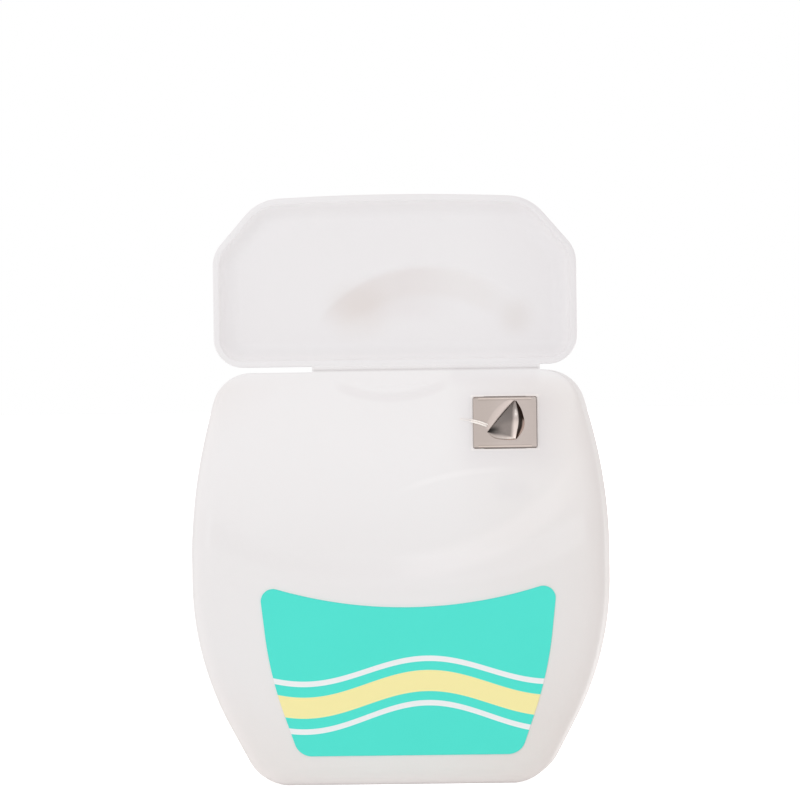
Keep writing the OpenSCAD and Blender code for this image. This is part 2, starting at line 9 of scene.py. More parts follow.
import bmesh
import bpy
import numpy as np
from mathutils import Matrix, Vector
from mathutils.geometry import tessellate_polygon


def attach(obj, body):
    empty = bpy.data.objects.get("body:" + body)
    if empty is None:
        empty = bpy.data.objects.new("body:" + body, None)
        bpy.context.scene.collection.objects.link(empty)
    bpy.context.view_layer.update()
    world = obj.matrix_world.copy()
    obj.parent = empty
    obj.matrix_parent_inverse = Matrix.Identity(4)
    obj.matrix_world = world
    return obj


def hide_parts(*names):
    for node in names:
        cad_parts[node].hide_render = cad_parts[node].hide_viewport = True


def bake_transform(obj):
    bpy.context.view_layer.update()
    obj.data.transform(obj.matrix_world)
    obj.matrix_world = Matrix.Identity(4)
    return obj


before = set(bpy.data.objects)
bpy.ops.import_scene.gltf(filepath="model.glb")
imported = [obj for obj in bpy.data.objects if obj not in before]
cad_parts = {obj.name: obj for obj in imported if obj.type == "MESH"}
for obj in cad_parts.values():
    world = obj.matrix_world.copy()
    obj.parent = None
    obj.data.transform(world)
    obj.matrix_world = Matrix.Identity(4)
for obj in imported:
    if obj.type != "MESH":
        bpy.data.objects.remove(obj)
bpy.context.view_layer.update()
scene = bpy.context.scene
print("nodes in the frame:", ", ".join(sorted(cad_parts)))

# %% [markdown]
# Every size is in millimetres and follows the model's own values, so the finer pieces lie exactly
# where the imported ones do. Only the mesh maker turns millimetres into Blender's metres.

# %% Sizes of the case
MM = 0.001

case_w = 51.4
case_h = 50.35
case_d = 20.0
base_w = 34.7
top_w = 43.4
low_side_z = 15.6
high_side_z = 37.1
low_side_share = 0.44
high_side_share = 0.42
base_corner_r = 5.8
top_corner_r = 4.9
wall = 1.2
edge_r = 2.4
hinge_edge_r = 0.15
edge_fade = 9.0
draft = 0.45
crown = 0.3
part_y = 1.5
lip_h = 1.2
lip_gap = 0.05
step_d = 1.4
step_z = 26.15
step_rise = 5.0
step_band = 5.0
lower_front = case_d / 2
deck_front = lower_front - step_d
face_half = case_w / 2 - draft - edge_r
front_mid_z = 0.66 * case_h
mid_z = case_h / 2
inner_edge_r = edge_r / 6
lip_inset = wall / 2
print("case:", case_w, "by", case_d, "by", case_h, "mm")

# %% Sizes of the lid and its hinge
lid_w = 44.3
lid_h = 21.2
lid_d = 3.6
lid_wall = 1.0
lid_z = 51.04
lid_mid_z = lid_z + 0.4 * lid_h
bevel_w = 5.65
bevel_h = 7.3
crest_h = 0.75
lid_corner_r = 3.5
bevel_low_r = 4.0
bevel_high_r = 5.8
crest_r = 290.0
lid_edge_r = 1.5
rim_y = -deck_front
web_w = 27.8
web_x = 3.7
web_t = 0.3
arch_w = 25.6
arch_h = 5.6
arch_rise = 6.9
arch_t = 0.25
arch_edge = 1.0
arch_fade = 4.0
arch_r = (arch_w ** 2 / 4 + arch_h ** 2) / (2 * arch_h)
arch_middle = np.array([web_x, lid_z + arch_rise + arch_h - arch_r])
print("lid:", lid_w, "by", lid_d, "by", lid_h, "mm")

# %% Sizes of the cutter, the ribs and the spool
cutter_w = 7.8
cutter_h = 6.3
cutter_t = 0.3
cutter_x = 13.25
cutter_z = case_h - 6.4
leg_w = 5.0
leg_reach = 0.6
outlet_r = 0.9
plate_front = rim_y - cutter_t
outlet = np.array([cutter_x + 0.04 * cutter_w / 2, cutter_z - 0.14 * cutter_h / 2])

upper_rib_r = 34.5
upper_rib_drop = 5.7
upper_rib_middle = np.array([cutter_x, cutter_z - upper_rib_drop - upper_rib_r])
lower_rib_r = 27.0
lower_rib_rise = 0.8
lower_rib_middle = np.array([0, step_z + lower_rib_rise + lower_rib_r])

spool_z = 23.525
spool_front = -5.9
spool_back = 7.15
winding_r = 17.025
flange_t = 0.8
carrier_r = 18.025
carrier_back = 8.15
carrier_front = 7.35
floss_d = 0.5
print("cutter:", cutter_w, "by", cutter_h, "mm, spool:", round(2 * carrier_r, 2), "mm across")

# %% [markdown]
# The camera comes first, because every later choice is judged through it. The photograph was taken
# with a long lens, straight from the front, a touch from the right, and with the box leaning by
# less than a degree. A far camera with a narrow view gives the same nearly parallel lines.

# %% Camera
camera_distance = 900.0
camera_turn = math.radians(2)
camera_aside = 0.196
camera_height = 46.85
camera_roll = 0.0136
view_width = 98.4

camera_data = bpy.data.cameras.new("camera")
camera_data.sensor_width = 36
camera_data.lens = camera_data.sensor_width * camera_distance / view_width
camera = bpy.data.objects.new("camera", camera_data)
scene.collection.objects.link(camera)
place = Matrix.Translation([
    MM * (camera_aside + camera_distance * math.sin(camera_turn)),
    -MM * camera_distance * math.cos(camera_turn),
    MM * camera_height,
])
level = Matrix.Rotation(camera_turn, 4, "Z") @ Matrix.Rotation(math.radians(90), 4, "X")
camera.matrix_world = place @ level @ Matrix.Rotation(-camera_roll, 4, "Z")
scene.camera = camera
print("lens:", round(camera_data.lens), "mm")

# %% [markdown]
# Materials are built from nodes. A few small helpers keep that short: they make a node with its
# values set, link nodes, do sums, turn a value into a mask that fades from 0 to 1, and change a
# colour by a tint where a mask is on.

# %% Node helpers


def add_node(tree, kind, values=None, **settings):
    """A new node in a tree, with its settings and the values of its inputs."""
    made = tree.nodes.new(kind)
    for name, value in settings.items():
        setattr(made, name, value)
    for name, value in (values or {}).items():
        made.inputs[name].default_value = value
    return made


def link(tree, *pairs):
    """Links outputs to inputs, given as pairs."""
    for output, socket in pairs:
        tree.links.new(output, socket)


def feed(tree, given, socket):
    """Sets a socket to a number, or links another node's output to it."""
    if isinstance(given, (int, float)):
        socket.default_value = given
    else:
        tree.links.new(given, socket)


def math_node(tree, operation, *inputs, clamp=False):
    """The output of a Math node. Each input is a number or another node's output."""
    made = add_node(tree, "ShaderNodeMath", operation=operation, use_clamp=clamp)
    for socket, given in zip(made.inputs, inputs):
        feed(tree, given, socket)
    return made.outputs[0]


def smooth_mask(tree, value, start, end):
    """A mask that goes smoothly from 0 at one value to 1 at another."""
    made = add_node(tree, "ShaderNodeMapRange", interpolation_type="SMOOTHSTEP")
    for name, given in (("Value", value), ("From Min", start), ("From Max", end)):
        feed(tree, given, made.inputs[name])
    return made.outputs["Result"]


def tinted(tree, colour, tint, mask, strength=1.0, blend="MULTIPLY"):
    """A colour, changed by a tint where a mask is on."""
    made = add_node(tree, "ShaderNodeMix", data_type="RGBA", blend_type=blend)
    share = math_node(tree, "MULTIPLY", mask, strength, clamp=True)
    tree.links.new(share, made.inputs["Factor"])
    first, second = (socket for socket in made.inputs if socket.type == "RGBA")
    if isinstance(colour, tuple):
        first.default_value = (*colour, 1)
    else:
        tree.links.new(colour, first)
    second.default_value = (*tint, 1)
    return next(socket for socket in made.outputs if socket.type == "RGBA")


# %% [markdown]
# More helpers make a material with a Principled shader to feed, and groups that several materials
# share. Values that are the same all over a surface are set on the shader's own sockets. Patterns
# are drawn in millimetres on Object coordinates. Every piece sits at the origin, so these are
# places on the box, and a pattern stays where it is when the camera or the lid moves.

# %% Material and group helpers


def new_material(name, roughness, **values):
    """A material, its tree and its shader. An underscore in a value's name stands for a space."""
    material = bpy.data.materials.new(name)
    material.use_nodes = True
    tree = material.node_tree
    shader = tree.nodes["Principled BSDF"]
    shader.inputs["Roughness"].default_value = roughness
    for key, value in values.items():
        shader.inputs[key.replace("_", " ")].default_value = value
    return material, tree, shader


def shader_group(name, inputs, outputs):
    """A shader node group with named inputs and outputs, and its nodes for both."""
    group = bpy.data.node_groups.new(name, "ShaderNodeTree")
    for key, kind in inputs.items():
        group.interface.new_socket(key, in_out="INPUT", socket_type="NodeSocket" + kind)
    for key, kind in outputs.items():
        group.interface.new_socket(key, in_out="OUTPUT", socket_type="NodeSocket" + kind)
    return group, group.nodes.new("NodeGroupInput"), group.nodes.new("NodeGroupOutput")


def use_group(tree, group, position, **values):
    """A group placed in a material, fed with a position and its own values."""
    made = add_node(tree, "ShaderNodeGroup", node_tree=group)
    tree.links.new(position, made.inputs["Position"])
    for key, value in values.items():
        made.inputs[key.replace("_", " ")].default_value = value
    return made


def millimetres(tree):
    """Object coordinates in millimetres."""
    place = add_node(tree, "ShaderNodeTexCoord").outputs["Object"]
    scaled = add_node(tree, "ShaderNodeVectorMath", operation="SCALE")
    scaled.inputs["Scale"].default_value = 1 / MM
    tree.links.new(place, scaled.inputs[0])
    return scaled.outputs[0]


def across_up_back(tree, position):
    """How far across, up and back a position lies: its X, Z and Y."""
    split = add_node(tree, "ShaderNodeSeparateXYZ")
    tree.links.new(position, split.inputs[0])
    return split.outputs["X"], split.outputs["Z"], split.outputs["Y"]


def bumped(tree, shader, height, strength, depth):
    """Feeds a shader's normal from a height, with a depth in millimetres."""
    bump = add_node(tree, "ShaderNodeBump", {"Strength": strength, "Distance": depth * MM})
    link(tree, (height, bump.inputs["Height"]), (bump.outputs[0], shader.inputs["Normal"]))


# %% [markdown]
# Two effects serve every moulding: the fine grain of the steel mould, and faint clouds where the
# plastic flowed and cooled unevenly. They are one group, so each material only gives its own sizes.
# Two more groups draw soft shapes on the faces: a band along an arc, and a box with soft sides.

# %% Group: moulded grain
grain_group, given, result = shader_group(
    "moulded_grain",
    {"Position": "Vector", "Grain size": "Float", "Cloud size": "Float"},
    {"Grain": "Float", "Cloud": "Float"},
)
for size, detail, output in (("Grain size", 3, "Grain"), ("Cloud size", 1, "Cloud")):
    noise = add_node(grain_group, "ShaderNodeTexNoise", {"Detail": detail, "Roughness": 0.5})
    fineness = math_node(grain_group, "DIVIDE", 1.0, given.outputs[size])
    link(grain_group, (given.outputs["Position"], noise.inputs["Vector"]),
         (fineness, noise.inputs["Scale"]), (noise.outputs[0], result.inputs[output]))

# %% Group: band along an arc
arc_group, given, result = shader_group(
    "arc_band",
    {"Position": "Vector", "Middle X": "Float", "Middle Z": "Float", "Radius": "Float",
     "Half width": "Float", "Softness": "Float", "From X": "Float", "To X": "Float",
     "Ends": "Float"},
    {"Mask": "Float"},
)
asked = given.outputs
x, z, _ = across_up_back(arc_group, asked["Position"])
squares = []
for value, middle in ((x, "Middle X"), (z, "Middle Z")):
    away = math_node(arc_group, "SUBTRACT", value, asked[middle])
    squares.append(math_node(arc_group, "MULTIPLY", away, away))
distance = math_node(arc_group, "SQRT", math_node(arc_group, "ADD", *squares))
off_line = math_node(arc_group, "SUBTRACT", distance, asked["Radius"])
off_line = math_node(arc_group, "ABSOLUTE", off_line)
outside = math_node(arc_group, "ADD", asked["Half width"], asked["Softness"])
shown = smooth_mask(arc_group, off_line, outside, asked["Half width"])
for end, inwards in (("From X", "ADD"), ("To X", "SUBTRACT")):
    full = math_node(arc_group, inwards, asked[end], asked["Ends"])
    shown = math_node(arc_group, "MULTIPLY", shown, smooth_mask(arc_group, x, asked[end], full))
arc_group.links.new(shown, result.inputs["Mask"])

# %% Group: soft box
box_group, given, result = shader_group(
    "soft_box",
    {"Position": "Vector", "Middle X": "Float", "Middle Z": "Float", "Half width": "Float",
     "Half height": "Float", "Softness": "Float"},
    {"Mask": "Float"},
)
asked = given.outputs
x, z, _ = across_up_back(box_group, asked["Position"])
squares = []
for value, middle, half in ((x, "Middle X", "Half width"), (z, "Middle Z", "Half height")):
    off = math_node(box_group, "ABSOLUTE", math_node(box_group, "SUBTRACT", value, asked[middle]))
    past = math_node(box_group, "SUBTRACT", off, asked[half])
    past = math_node(box_group, "MAXIMUM", past, 0.0)
    squares.append(math_node(box_group, "MULTIPLY", past, past))
distance = math_node(box_group, "SQRT", math_node(box_group, "ADD", *squares))
shown = smooth_mask(box_group, distance, asked["Softness"], 0.0)
box_group.links.new(shown, result.inputs["Mask"])
print("groups:", ", ".join(group.name for group in (grain_group, arc_group, box_group)))

# %% [markdown]
# The case is natural polypropylene: white, satin and a little translucent. Light that wanders
# inside plastic is slow to render and gets lost in an exported model. So the case's light and shade
# are painted by place instead: a mask in millimetres multiplies the colour by a tint close to one,
# below one for painted shade and above it for painted light.

# %% Case plastic: masks
case_white = (0.865, 0.85, 0.857)
case_plastic, case_tree, case_shader = new_material("case_plastic", 0.4)
case_position = millimetres(case_tree)
x, z, y = across_up_back(case_tree, case_position)
case_grain = use_group(case_tree, grain_group, case_position, Grain_size=0.35, Cloud_size=14.0)
clouds = case_grain.outputs["Cloud"]
case_colour = tinted(case_tree, case_white, (0.975, 0.965, 0.96), clouds, 0.5)


def all_of(*masks):
    """On where all of some masks are on."""
    shown = masks[0]
    for mask in masks[1:]:
        shown = math_node(case_tree, "MULTIPLY", shown, mask)
    return shown


def fade(value, start, end):
    """A mask on the case that goes from 0 at one place to 1 at another."""
    return smooth_mask(case_tree, value, start, end)


def arc_mask(middle, radius, half_width, soft, span, ends):
    """A band along an arc round a middle, shown over a span of X and fading at both ends."""
    return use_group(
        case_tree, arc_group, case_position, Middle_X=middle[0], Middle_Z=middle[1],
        Radius=radius, Half_width=half_width, Softness=soft, From_X=span[0], To_X=span[1],
        Ends=ends,
    ).outputs["Mask"]


def box_mask(middle, half_width, half_height, soft):
    """A box with soft sides round a middle, or a spot where its halves are small."""
    return use_group(
        case_tree, box_group, case_position, Middle_X=middle[0], Middle_Z=middle[1],
        Half_width=half_width, Half_height=half_height, Softness=soft,
    ).outputs["Mask"]


in_lid = fade(z, lid_z - 0.3, lid_z + 0.3)
not_lid = math_node(case_tree, "SUBTRACT", 1.0, in_lid)
in_case = fade(z, case_h, case_h - 2.0)
at_front = fade(y, rim_y + 1.5, rim_y + 0.4)
front_side = fade(y, 0.0, -3.0)

# %% [markdown]
# On the case, painted shade lies in a line along the hinge and softly on the deck beside it.
# Painted shade also darkens the lower half, the right, a wide band near the edges and a spot below
# the cutter. Over the two ribs the colour is painted brighter. Painted shade darkens the deck round
# the cutter, and painted light runs along the edge of its pocket. A thin arc of painted shade lies
# along the low edge of the lens, painted warm shade darkens the base, and a soft band of painted
# shade runs down the right side.

# %% Case plastic: painted light and shade of the case
pocket_edge = 0.12
painted_case_light_and_shade = [
    ((0.86, 0.85, 0.85), at_front,
     box_mask((web_x, case_h + 0.25), web_w / 2 - 0.3, half_height=0.04, soft=0.3)),
    ((0.965, 0.96, 0.963), at_front,
     box_mask((12.0, case_h - 0.6), half_width=4.5, half_height=0.4, soft=1.6)),
    ((0.955, 0.95, 0.947), fade(z, 43.0, 22.0)),
    ((0.965, 0.955, 0.945), fade(x, 4.0, 18.0), fade(z, 50.6, 46.0)),
    ((0.98, 0.965, 0.955), in_case,
     arc_mask((-3.0, 28.0), radius=36.0, half_width=6.0, soft=9.0, span=(-40.0, 40.0), ends=1.0)),
    ((1.035, 1.033, 1.033), front_side,
     arc_mask((0.0, 54.0), radius=27.4, half_width=0.7, soft=1.6, span=(-2.0, 24.0), ends=6.0)),
    ((1.03, 1.03, 1.03), front_side,
     arc_mask(upper_rib_middle, upper_rib_r, half_width=0.1, soft=0.45, span=(-1.0, 15.5),
              ends=5.0)),
    ((0.972, 0.972, 0.978), front_side,
     box_mask((14.0, 35.8), half_width=0.9, half_height=0.1, soft=2.3)),
    ((0.948, 0.94, 0.948), front_side,
     box_mask((cutter_x + 0.3, cutter_z - 0.7), half_width=3.5, half_height=2.6, soft=4.2)),
    ((1.14, 1.125, 1.105), front_side,
     box_mask((cutter_x, cutter_z), cutter_w / 2 + pocket_edge, cutter_h / 2 + pocket_edge,
              soft=0.22)),
    ((0.965, 0.957, 0.96), in_case, front_side,
     arc_mask((-0.6, 62.3), radius=15.1, half_width=0.25, soft=0.6, span=(-8.0, 7.0), ends=2.0)),
    ((0.99, 0.975, 0.965), fade(z, 18.0, 4.0)),
    ((0.9, 0.885, 0.875), fade(z, 46.0, 28.0), fade(y, 7.0, -1.0),
     arc_mask((-33.8, 27.1), radius=60.0, half_width=0.5, soft=0.5, span=(20.0, 30.0), ends=1.0)),
]

# %% [markdown]
# On the lid the colour is a cooler grey, with painted shade a little darker to the right. Painted
# shade follows the arched hollow as a warm band on the inner face: full on the left, a mere edge on
# the right, and darkest at its two feet. This shade is masked to the inner face, so the back of the
# lid keeps only the grey.

# %% Case plastic: grey and painted shade of the lid
inner_face = fade(y, rim_y + lid_d - 0.15, rim_y + lid_d - 0.55)
above_feet = all_of(fade(z, 55.5, 58.5), inner_face)
lid_grey_and_painted_shade = [
    ((0.96, 0.96, 0.965), in_lid),
    ((0.97, 0.965, 0.967), in_lid, fade(x, 8.0, 20.0)),
    ((0.957, 0.94, 0.936), fade(x, 9.0, 0.0), above_feet,
     arc_mask(arch_middle, radius=13.5, half_width=2.9, soft=0.9, span=(-10.0, 12.0), ends=1.5)),
    ((0.975, 0.965, 0.955), above_feet,
     arc_mask(arch_middle, radius=15.2, half_width=0.9, soft=1.6, span=(-9.0, 15.0), ends=5.0)),
    ((0.96, 0.94, 0.922), inner_face,
     box_mask((-4.6, 57.9), half_width=0.9, half_height=0.5, soft=4.2)),
    ((0.945, 0.93, 0.915), inner_face,
     box_mask((14.7, 56.9), half_width=0.1, half_height=0.3, soft=3.0)),
]
for tint, *masks in painted_case_light_and_shade + lid_grey_and_painted_shade:
    case_colour = tinted(case_tree, case_colour, tint, all_of(*masks))
print("tones:", len(painted_case_light_and_shade), "on the case,", len(lid_grey_and_painted_shade), "on the lid")

# %% [markdown]
# The plastic is satin: its roughness wanders with the clouds and its grain is a bump of a few
# thousandths of a millimetre. Light that enters it leaves again at the slanting edges, which then
# glow softly. Here that glow is painted light: Layer Weight finds the slant, as it would for a
# sheen, and a faint emission paints the glow, a little more on the thin lid, less on the steep
# sides, and hardly any on the right.

# %% Case plastic: gloss and glow
slope_glow = 0.045
lid_glow = 0.015
right_glow = -0.04
steep_glow = -0.05
satin = add_node(case_tree, "ShaderNodeMapRange", {"To Min": 0.36, "To Max": 0.46})
link(case_tree, (case_colour, case_shader.inputs["Base Color"]), (clouds, satin.inputs["Value"]),
     (satin.outputs["Result"], case_shader.inputs["Roughness"]))
bumped(case_tree, case_shader, case_grain.outputs["Grain"], 0.25, 0.006)
slanting = add_node(case_tree, "ShaderNodeLayerWeight", {"Blend": 0.5}).outputs["Facing"]
on_the_right = all_of(fade(x, 14.0, 20.0), not_lid)
on_steep_sides = all_of(fade(slanting, 0.3, 0.8), not_lid)
glow = math_node(case_tree, "MULTIPLY_ADD", in_lid, lid_glow, slope_glow)
glow = math_node(case_tree, "MULTIPLY_ADD", on_the_right, right_glow, glow)
less = math_node(case_tree, "MULTIPLY", on_steep_sides, steep_glow)
glow = math_node(case_tree, "MULTIPLY_ADD", fade(slanting, 0.0, 0.5), glow, less)
glow_colour = tinted(case_tree, (0, 0, 0), (1, 0.975, 0.96), glow, blend="MIX")
case_tree.links.new(glow_colour, case_shader.inputs["Emission Color"])
case_shader.inputs["Emission Strength"].default_value = 1

# %% [markdown]
# The spool and its carrier are the same kind of plastic with a slightly coarser grain, and without
# the case's painted light and shade.

# %% Spool plastic
spool_plastic, tree, shader = new_material("spool_plastic", 0.45)
grain = use_group(tree, grain_group, millimetres(tree), Grain_size=0.5, Cloud_size=8.0)
colour = tinted(tree, (0.83, 0.82, 0.8), (0.95, 0.945, 0.935), grain.outputs["Cloud"])
link(tree, (colour, shader.inputs["Base Color"]))
bumped(tree, shader, grain.outputs["Grain"], 0.35, 0.01)

# %% [markdown]
# The cutter is bright sheet steel, a little darker to the left. Rolling leaves fine lines along the
# sheet, which are a noise stretched in one direction. Each bend at the top and the bottom gets a
# painted highlight line with a painted line of shade inside it. The tooth's reflections are painted
# too: a point attribute says how much darker the steel is painted where its faces would mirror dark
# surroundings, and where it is below zero the steel is painted brighter, as a highlight.

# %% Cutter steel
steel_grey = (0.435, 0.378, 0.352)
painted_reflection_depth = -0.53
line_half_t = 0.03
line_end = 0.7
painted_bend_lines = [(0.24, (1.3, 1.28, 1.26)), (0.38, (0.85, 0.84, 0.83))]
cutter_steel, tree, shader = new_material(
    "cutter_steel", 0.3, Metallic=1, Specular_Tint=(0.62, 0.5, 0.45, 1)
)
position = millimetres(tree)
stretched = add_node(tree, "ShaderNodeMapping")
stretched.inputs["Scale"].default_value = (0.35, 6.0, 6.0)
rolled = add_node(tree, "ShaderNodeTexNoise", {"Scale": 2.0, "Detail": 3})
painted_reflection_value = add_node(tree, "ShaderNodeAttribute", attribute_name="painted_reflection").outputs["Fac"]
darkness = math_node(tree, "MULTIPLY_ADD", painted_reflection_value, painted_reflection_depth, 1.0)
colour = tinted(tree, steel_grey, (0.93, 0.93, 0.93), rolled.outputs[0], 0.8)
x, z, _ = across_up_back(tree, position)
on_the_left = smooth_mask(tree, x, cutter_x, cutter_x - 2.5)
colour = tinted(tree, colour, (0.94, 0.935, 0.925), on_the_left)
for side in (-1, 1):
    for inset, tint in painted_bend_lines:
        painted_bend_line = use_group(
            tree, box_group, position, Middle_X=cutter_x,
            Middle_Z=cutter_z + side * (cutter_h / 2 - inset),
            Half_width=cutter_w / 2 - line_end, Half_height=line_half_t, Softness=0.1,
        )
        colour = tinted(tree, colour, tint, painted_bend_line.outputs["Mask"])
scaled = add_node(tree, "ShaderNodeVectorMath", operation="SCALE")
rough = add_node(tree, "ShaderNodeMapRange", {"To Min": 0.24, "To Max": 0.4})
link(tree, (position, stretched.inputs["Vector"]), (stretched.outputs[0], rolled.inputs["Vector"]),
     (colour, scaled.inputs[0]), (darkness, scaled.inputs["Scale"]),
     (scaled.outputs[0], shader.inputs["Base Color"]), (rolled.outputs[0], rough.inputs["Value"]),
     (rough.outputs["Result"], shader.inputs["Roughness"]))
bumped(tree, shader, rolled.outputs[0], 0.2, 0.004)

# %% [markdown]
# Floss is a bundle of white waxed filaments. Fine streaks in the colour and the bump give the waxed
# fibres their broken gloss, a little sheen lifts the edges, and a trace of emission stands for the
# light that shines through so thin a thread.

# %% Floss
floss_fibre, tree, shader = new_material(
    "floss", 0.42, Sheen_Weight=0.3, Emission_Color=(1, 0.97, 0.94, 1), Emission_Strength=0.035
)
fibres = add_node(tree, "ShaderNodeTexNoise", {"Scale": 9.0, "Detail": 2})
tree.links.new(millimetres(tree), fibres.inputs["Vector"])
colour = tinted(tree, (0.97, 0.925, 0.89), (0.92, 0.87, 0.83), fibres.outputs[0], 0.7)
link(tree, (colour, shader.inputs["Base Color"]))
bumped(tree, shader, fibres.outputs[0], 0.4, 0.03)

# %% [markdown]
# The labels are printed films with a plain pattern: stripes that wave across the film. One group
# draws a stripe, and one function makes both films from a table of stripes. The ground is clouded
# a little, as a thin layer of ink is.

# %% Group: wave stripe
print_edge = 0.06
wave_group, given, result = shader_group(
    "wave_stripe",
    {"Position": "Vector", "Height": "Float", "Swing": "Float", "Length": "Float",
     "Start": "Float", "Half width": "Float"},
    {"Mask": "Float"},
)
asked = given.outputs
x, z, _ = across_up_back(wave_group, asked["Position"])
waves = math_node(wave_group, "SUBTRACT", x, asked["Start"])
waves = math_node(wave_group, "DIVIDE", waves, asked["Length"])
angle = math_node(wave_group, "MULTIPLY", waves, 2 * math.pi)
swung = math_node(wave_group, "SINE", angle)
line = math_node(wave_group, "MULTIPLY_ADD", swung, asked["Swing"], asked["Height"])
off = math_node(wave_group, "ABSOLUTE", math_node(wave_group, "SUBTRACT", z, line))
edge = math_node(wave_group, "ADD", asked["Half width"], print_edge)
shown = smooth_mask(wave_group, off, edge, asked["Half width"])
wave_group.links.new(shown, result.inputs["Mask"])

# %% Label films
pale_yellow = (0.93, 0.83, 0.38)
print_white = (0.86, 0.87, 0.88)
teal = (0.058, 0.76, 0.64)
front_waves = {"Length": 30.0, "Start": -4.0}
front_stripes = [
    (print_white, {"Height": 13.9, "Swing": 1.5, "Half_width": 0.3, **front_waves}),
    (pale_yellow, {"Height": 11.1, "Swing": 1.6, "Half_width": 1.25, **front_waves}),
    (print_white, {"Height": 8.3, "Swing": 1.7, "Half_width": 0.3, **front_waves}),
]
rear_waves = {"Length": 30.0, "Start": 3.0, "Swing": 0.9}
rear_stripes = [
    (teal, {"Height": 17.2, "Half_width": 1.8, **rear_waves}),
    (pale_yellow, {"Height": 20.0, "Half_width": 0.25, **rear_waves}),
    (pale_yellow, {"Height": 14.4, "Half_width": 0.25, **rear_waves}),
]


def printed_film(name, roughness, ground, cloud_tint, cloud_strength, stripes):
    """A film's material: a clouded ground with stripes printed over it."""
    material, tree, shader = new_material(name, roughness)
    position = millimetres(tree)
    grain = use_group(tree, grain_group, position, Grain_size=0.6, Cloud_size=9.0)
    colour = tinted(tree, ground, cloud_tint, grain.outputs["Cloud"], cloud_strength)
    for ink, values in stripes:
        stripe = use_group(tree, wave_group, position, **values)
        colour = tinted(tree, colour, ink, stripe.outputs["Mask"], blend="MIX")
    link(tree, (colour, shader.inputs["Base Color"]))
    bumped(tree, shader, grain.outputs["Grain"], 0.1, 0.004)
    return material


front_film = printed_film("front_label_film", 0.34, teal, (0.9, 0.975, 0.97), 0.8, front_stripes)
rear_film = printed_film(
    "rear_label_film", 0.4, (0.82, 0.84, 0.84), (0.97, 0.98, 0.98), 1.0, rear_stripes
)
finishes = (case_plastic, spool_plastic, cutter_steel, floss_fibre, front_film, rear_film)
print("materials:", ", ".join(material.name for material in finishes))

# %% [markdown]
# Outlines are drawn as the model draws them: straight sides with rounded corners, seen from the
# front in X and Z. Each point keeps the direction that faces outwards there, so that a wall or a
# rounded edge can be laid inside it. Points every 0.8 mm make the curves smooth.

# %% Directions and turns


def heading(a, b):
    """Direction from one point to another, as an angle."""
    return math.atan2(b[1] - a[1], b[0] - a[0])


def turn_at(a, b, c):
    """How far an outline turns at b, to the left where it is more than zero."""
    turn = heading(b, c) - heading(a, b)
    return turn - 2 * math.pi * round(turn / (2 * math.pi))


def right_of(angle):
    """The direction to the right of a heading, which is outwards on a left-handed round."""
    return np.array([math.sin(angle), -math.cos(angle)])


def blunt_r(a, b, c, share):
    """Radius that takes a share of the edge from b to c at the corner b."""
    return share * math.dist(b, c) / math.tan(abs(turn_at(a, b, c)) / 2)


# %% Rounded outlines
point_step = 0.8
turn_step = math.radians(5)


def rounded(corners):
    """Points and outward directions of a closed outline of [x, z, radius] corners."""
    points, outs = [], []
    for i, corner in enumerate(corners):
        a, b, c = corners[i - 1][:2], corner[:2], corners[(i + 1) % len(corners)][:2]
        radius = corner[2] if len(corner) > 2 else 0
        start_heading, turn = heading(a, b), turn_at(a, b, c)
        side = 1 if turn > 0 else -1
        ahead = np.array([math.cos(start_heading), math.sin(start_heading)])
        start = np.array(b) - radius * math.tan(abs(turn) / 2) * ahead
        centre = start - side * radius * right_of(start_heading)
        steps = math.ceil(max(abs(turn) / turn_step, abs(turn) * radius / point_step))
        for k in range(steps + 1 if radius else 1):
            out = right_of(start_heading + (turn * k / steps if radius else 0))
            points.append(centre + side * radius * out)
            outs.append(out)
    return fill_straights(np.array(points), np.array(outs))


def fill_straights(points, outs):
    """Adds points along the straight stretches, so that none is longer than the point step."""
    new_points, new_outs = [], []
    for i, point in enumerate(points):
        onward = points[(i + 1) % len(points)] - point
        parts = max(1, math.ceil(np.linalg.norm(onward) / point_step))
        for k in range(parts):
            out = outs[i] + (outs[(i + 1) % len(points)] - outs[i]) * k / parts
            new_points.append(point + onward * k / parts)
            new_outs.append(out / np.linalg.norm(out))
    return np.array(new_points), np.array(new_outs)


def both_sides(half):
    """A right half of corners from the middle of the base up, and its mirror image."""
    return half + [[-c[0], *c[1:]] for c in reversed(half) if c[0] != 0]


# %% Outlines of the case and the lid
base_corner = [base_w / 2, 0]
low_corner = [case_w / 2, low_side_z]
high_corner = [case_w / 2, high_side_z]
top_corner = [top_w / 2, case_h]
low_side_r = blunt_r(base_corner, low_corner, high_corner, low_side_share)
high_side_r = blunt_r(top_corner, high_corner, low_corner, high_side_share)
case_points, case_outs = rounded(both_sides([
    [0, 0],
    [*base_corner, base_corner_r],
    [*low_corner, low_side_r],
    [*high_corner, high_side_r],
    [*top_corner, top_corner_r],
    [0, case_h],
]))
lid_points, lid_outs = rounded(both_sides([
    [0, lid_z],
    [lid_w / 2, lid_z, lid_corner_r],
    [lid_w / 2, lid_z + lid_h - bevel_h, bevel_low_r],
    [lid_w / 2 - bevel_w, lid_z + lid_h - crest_h, bevel_high_r],
    [0, lid_z + lid_h, crest_r],
]))
print("outline points:", len(case_points), "on the case,", len(lid_points), "on the lid")

# %% [markdown]
# A moulded shell is a stack of rings: it starts at the middle of the face, runs out to the rounded
# edge, down the side, round the rim and back along the inside. Joining each ring to the next gives
# one closed skin with even quads, which bends light better than a shape cut with booleans.

# %% Meshes from rings


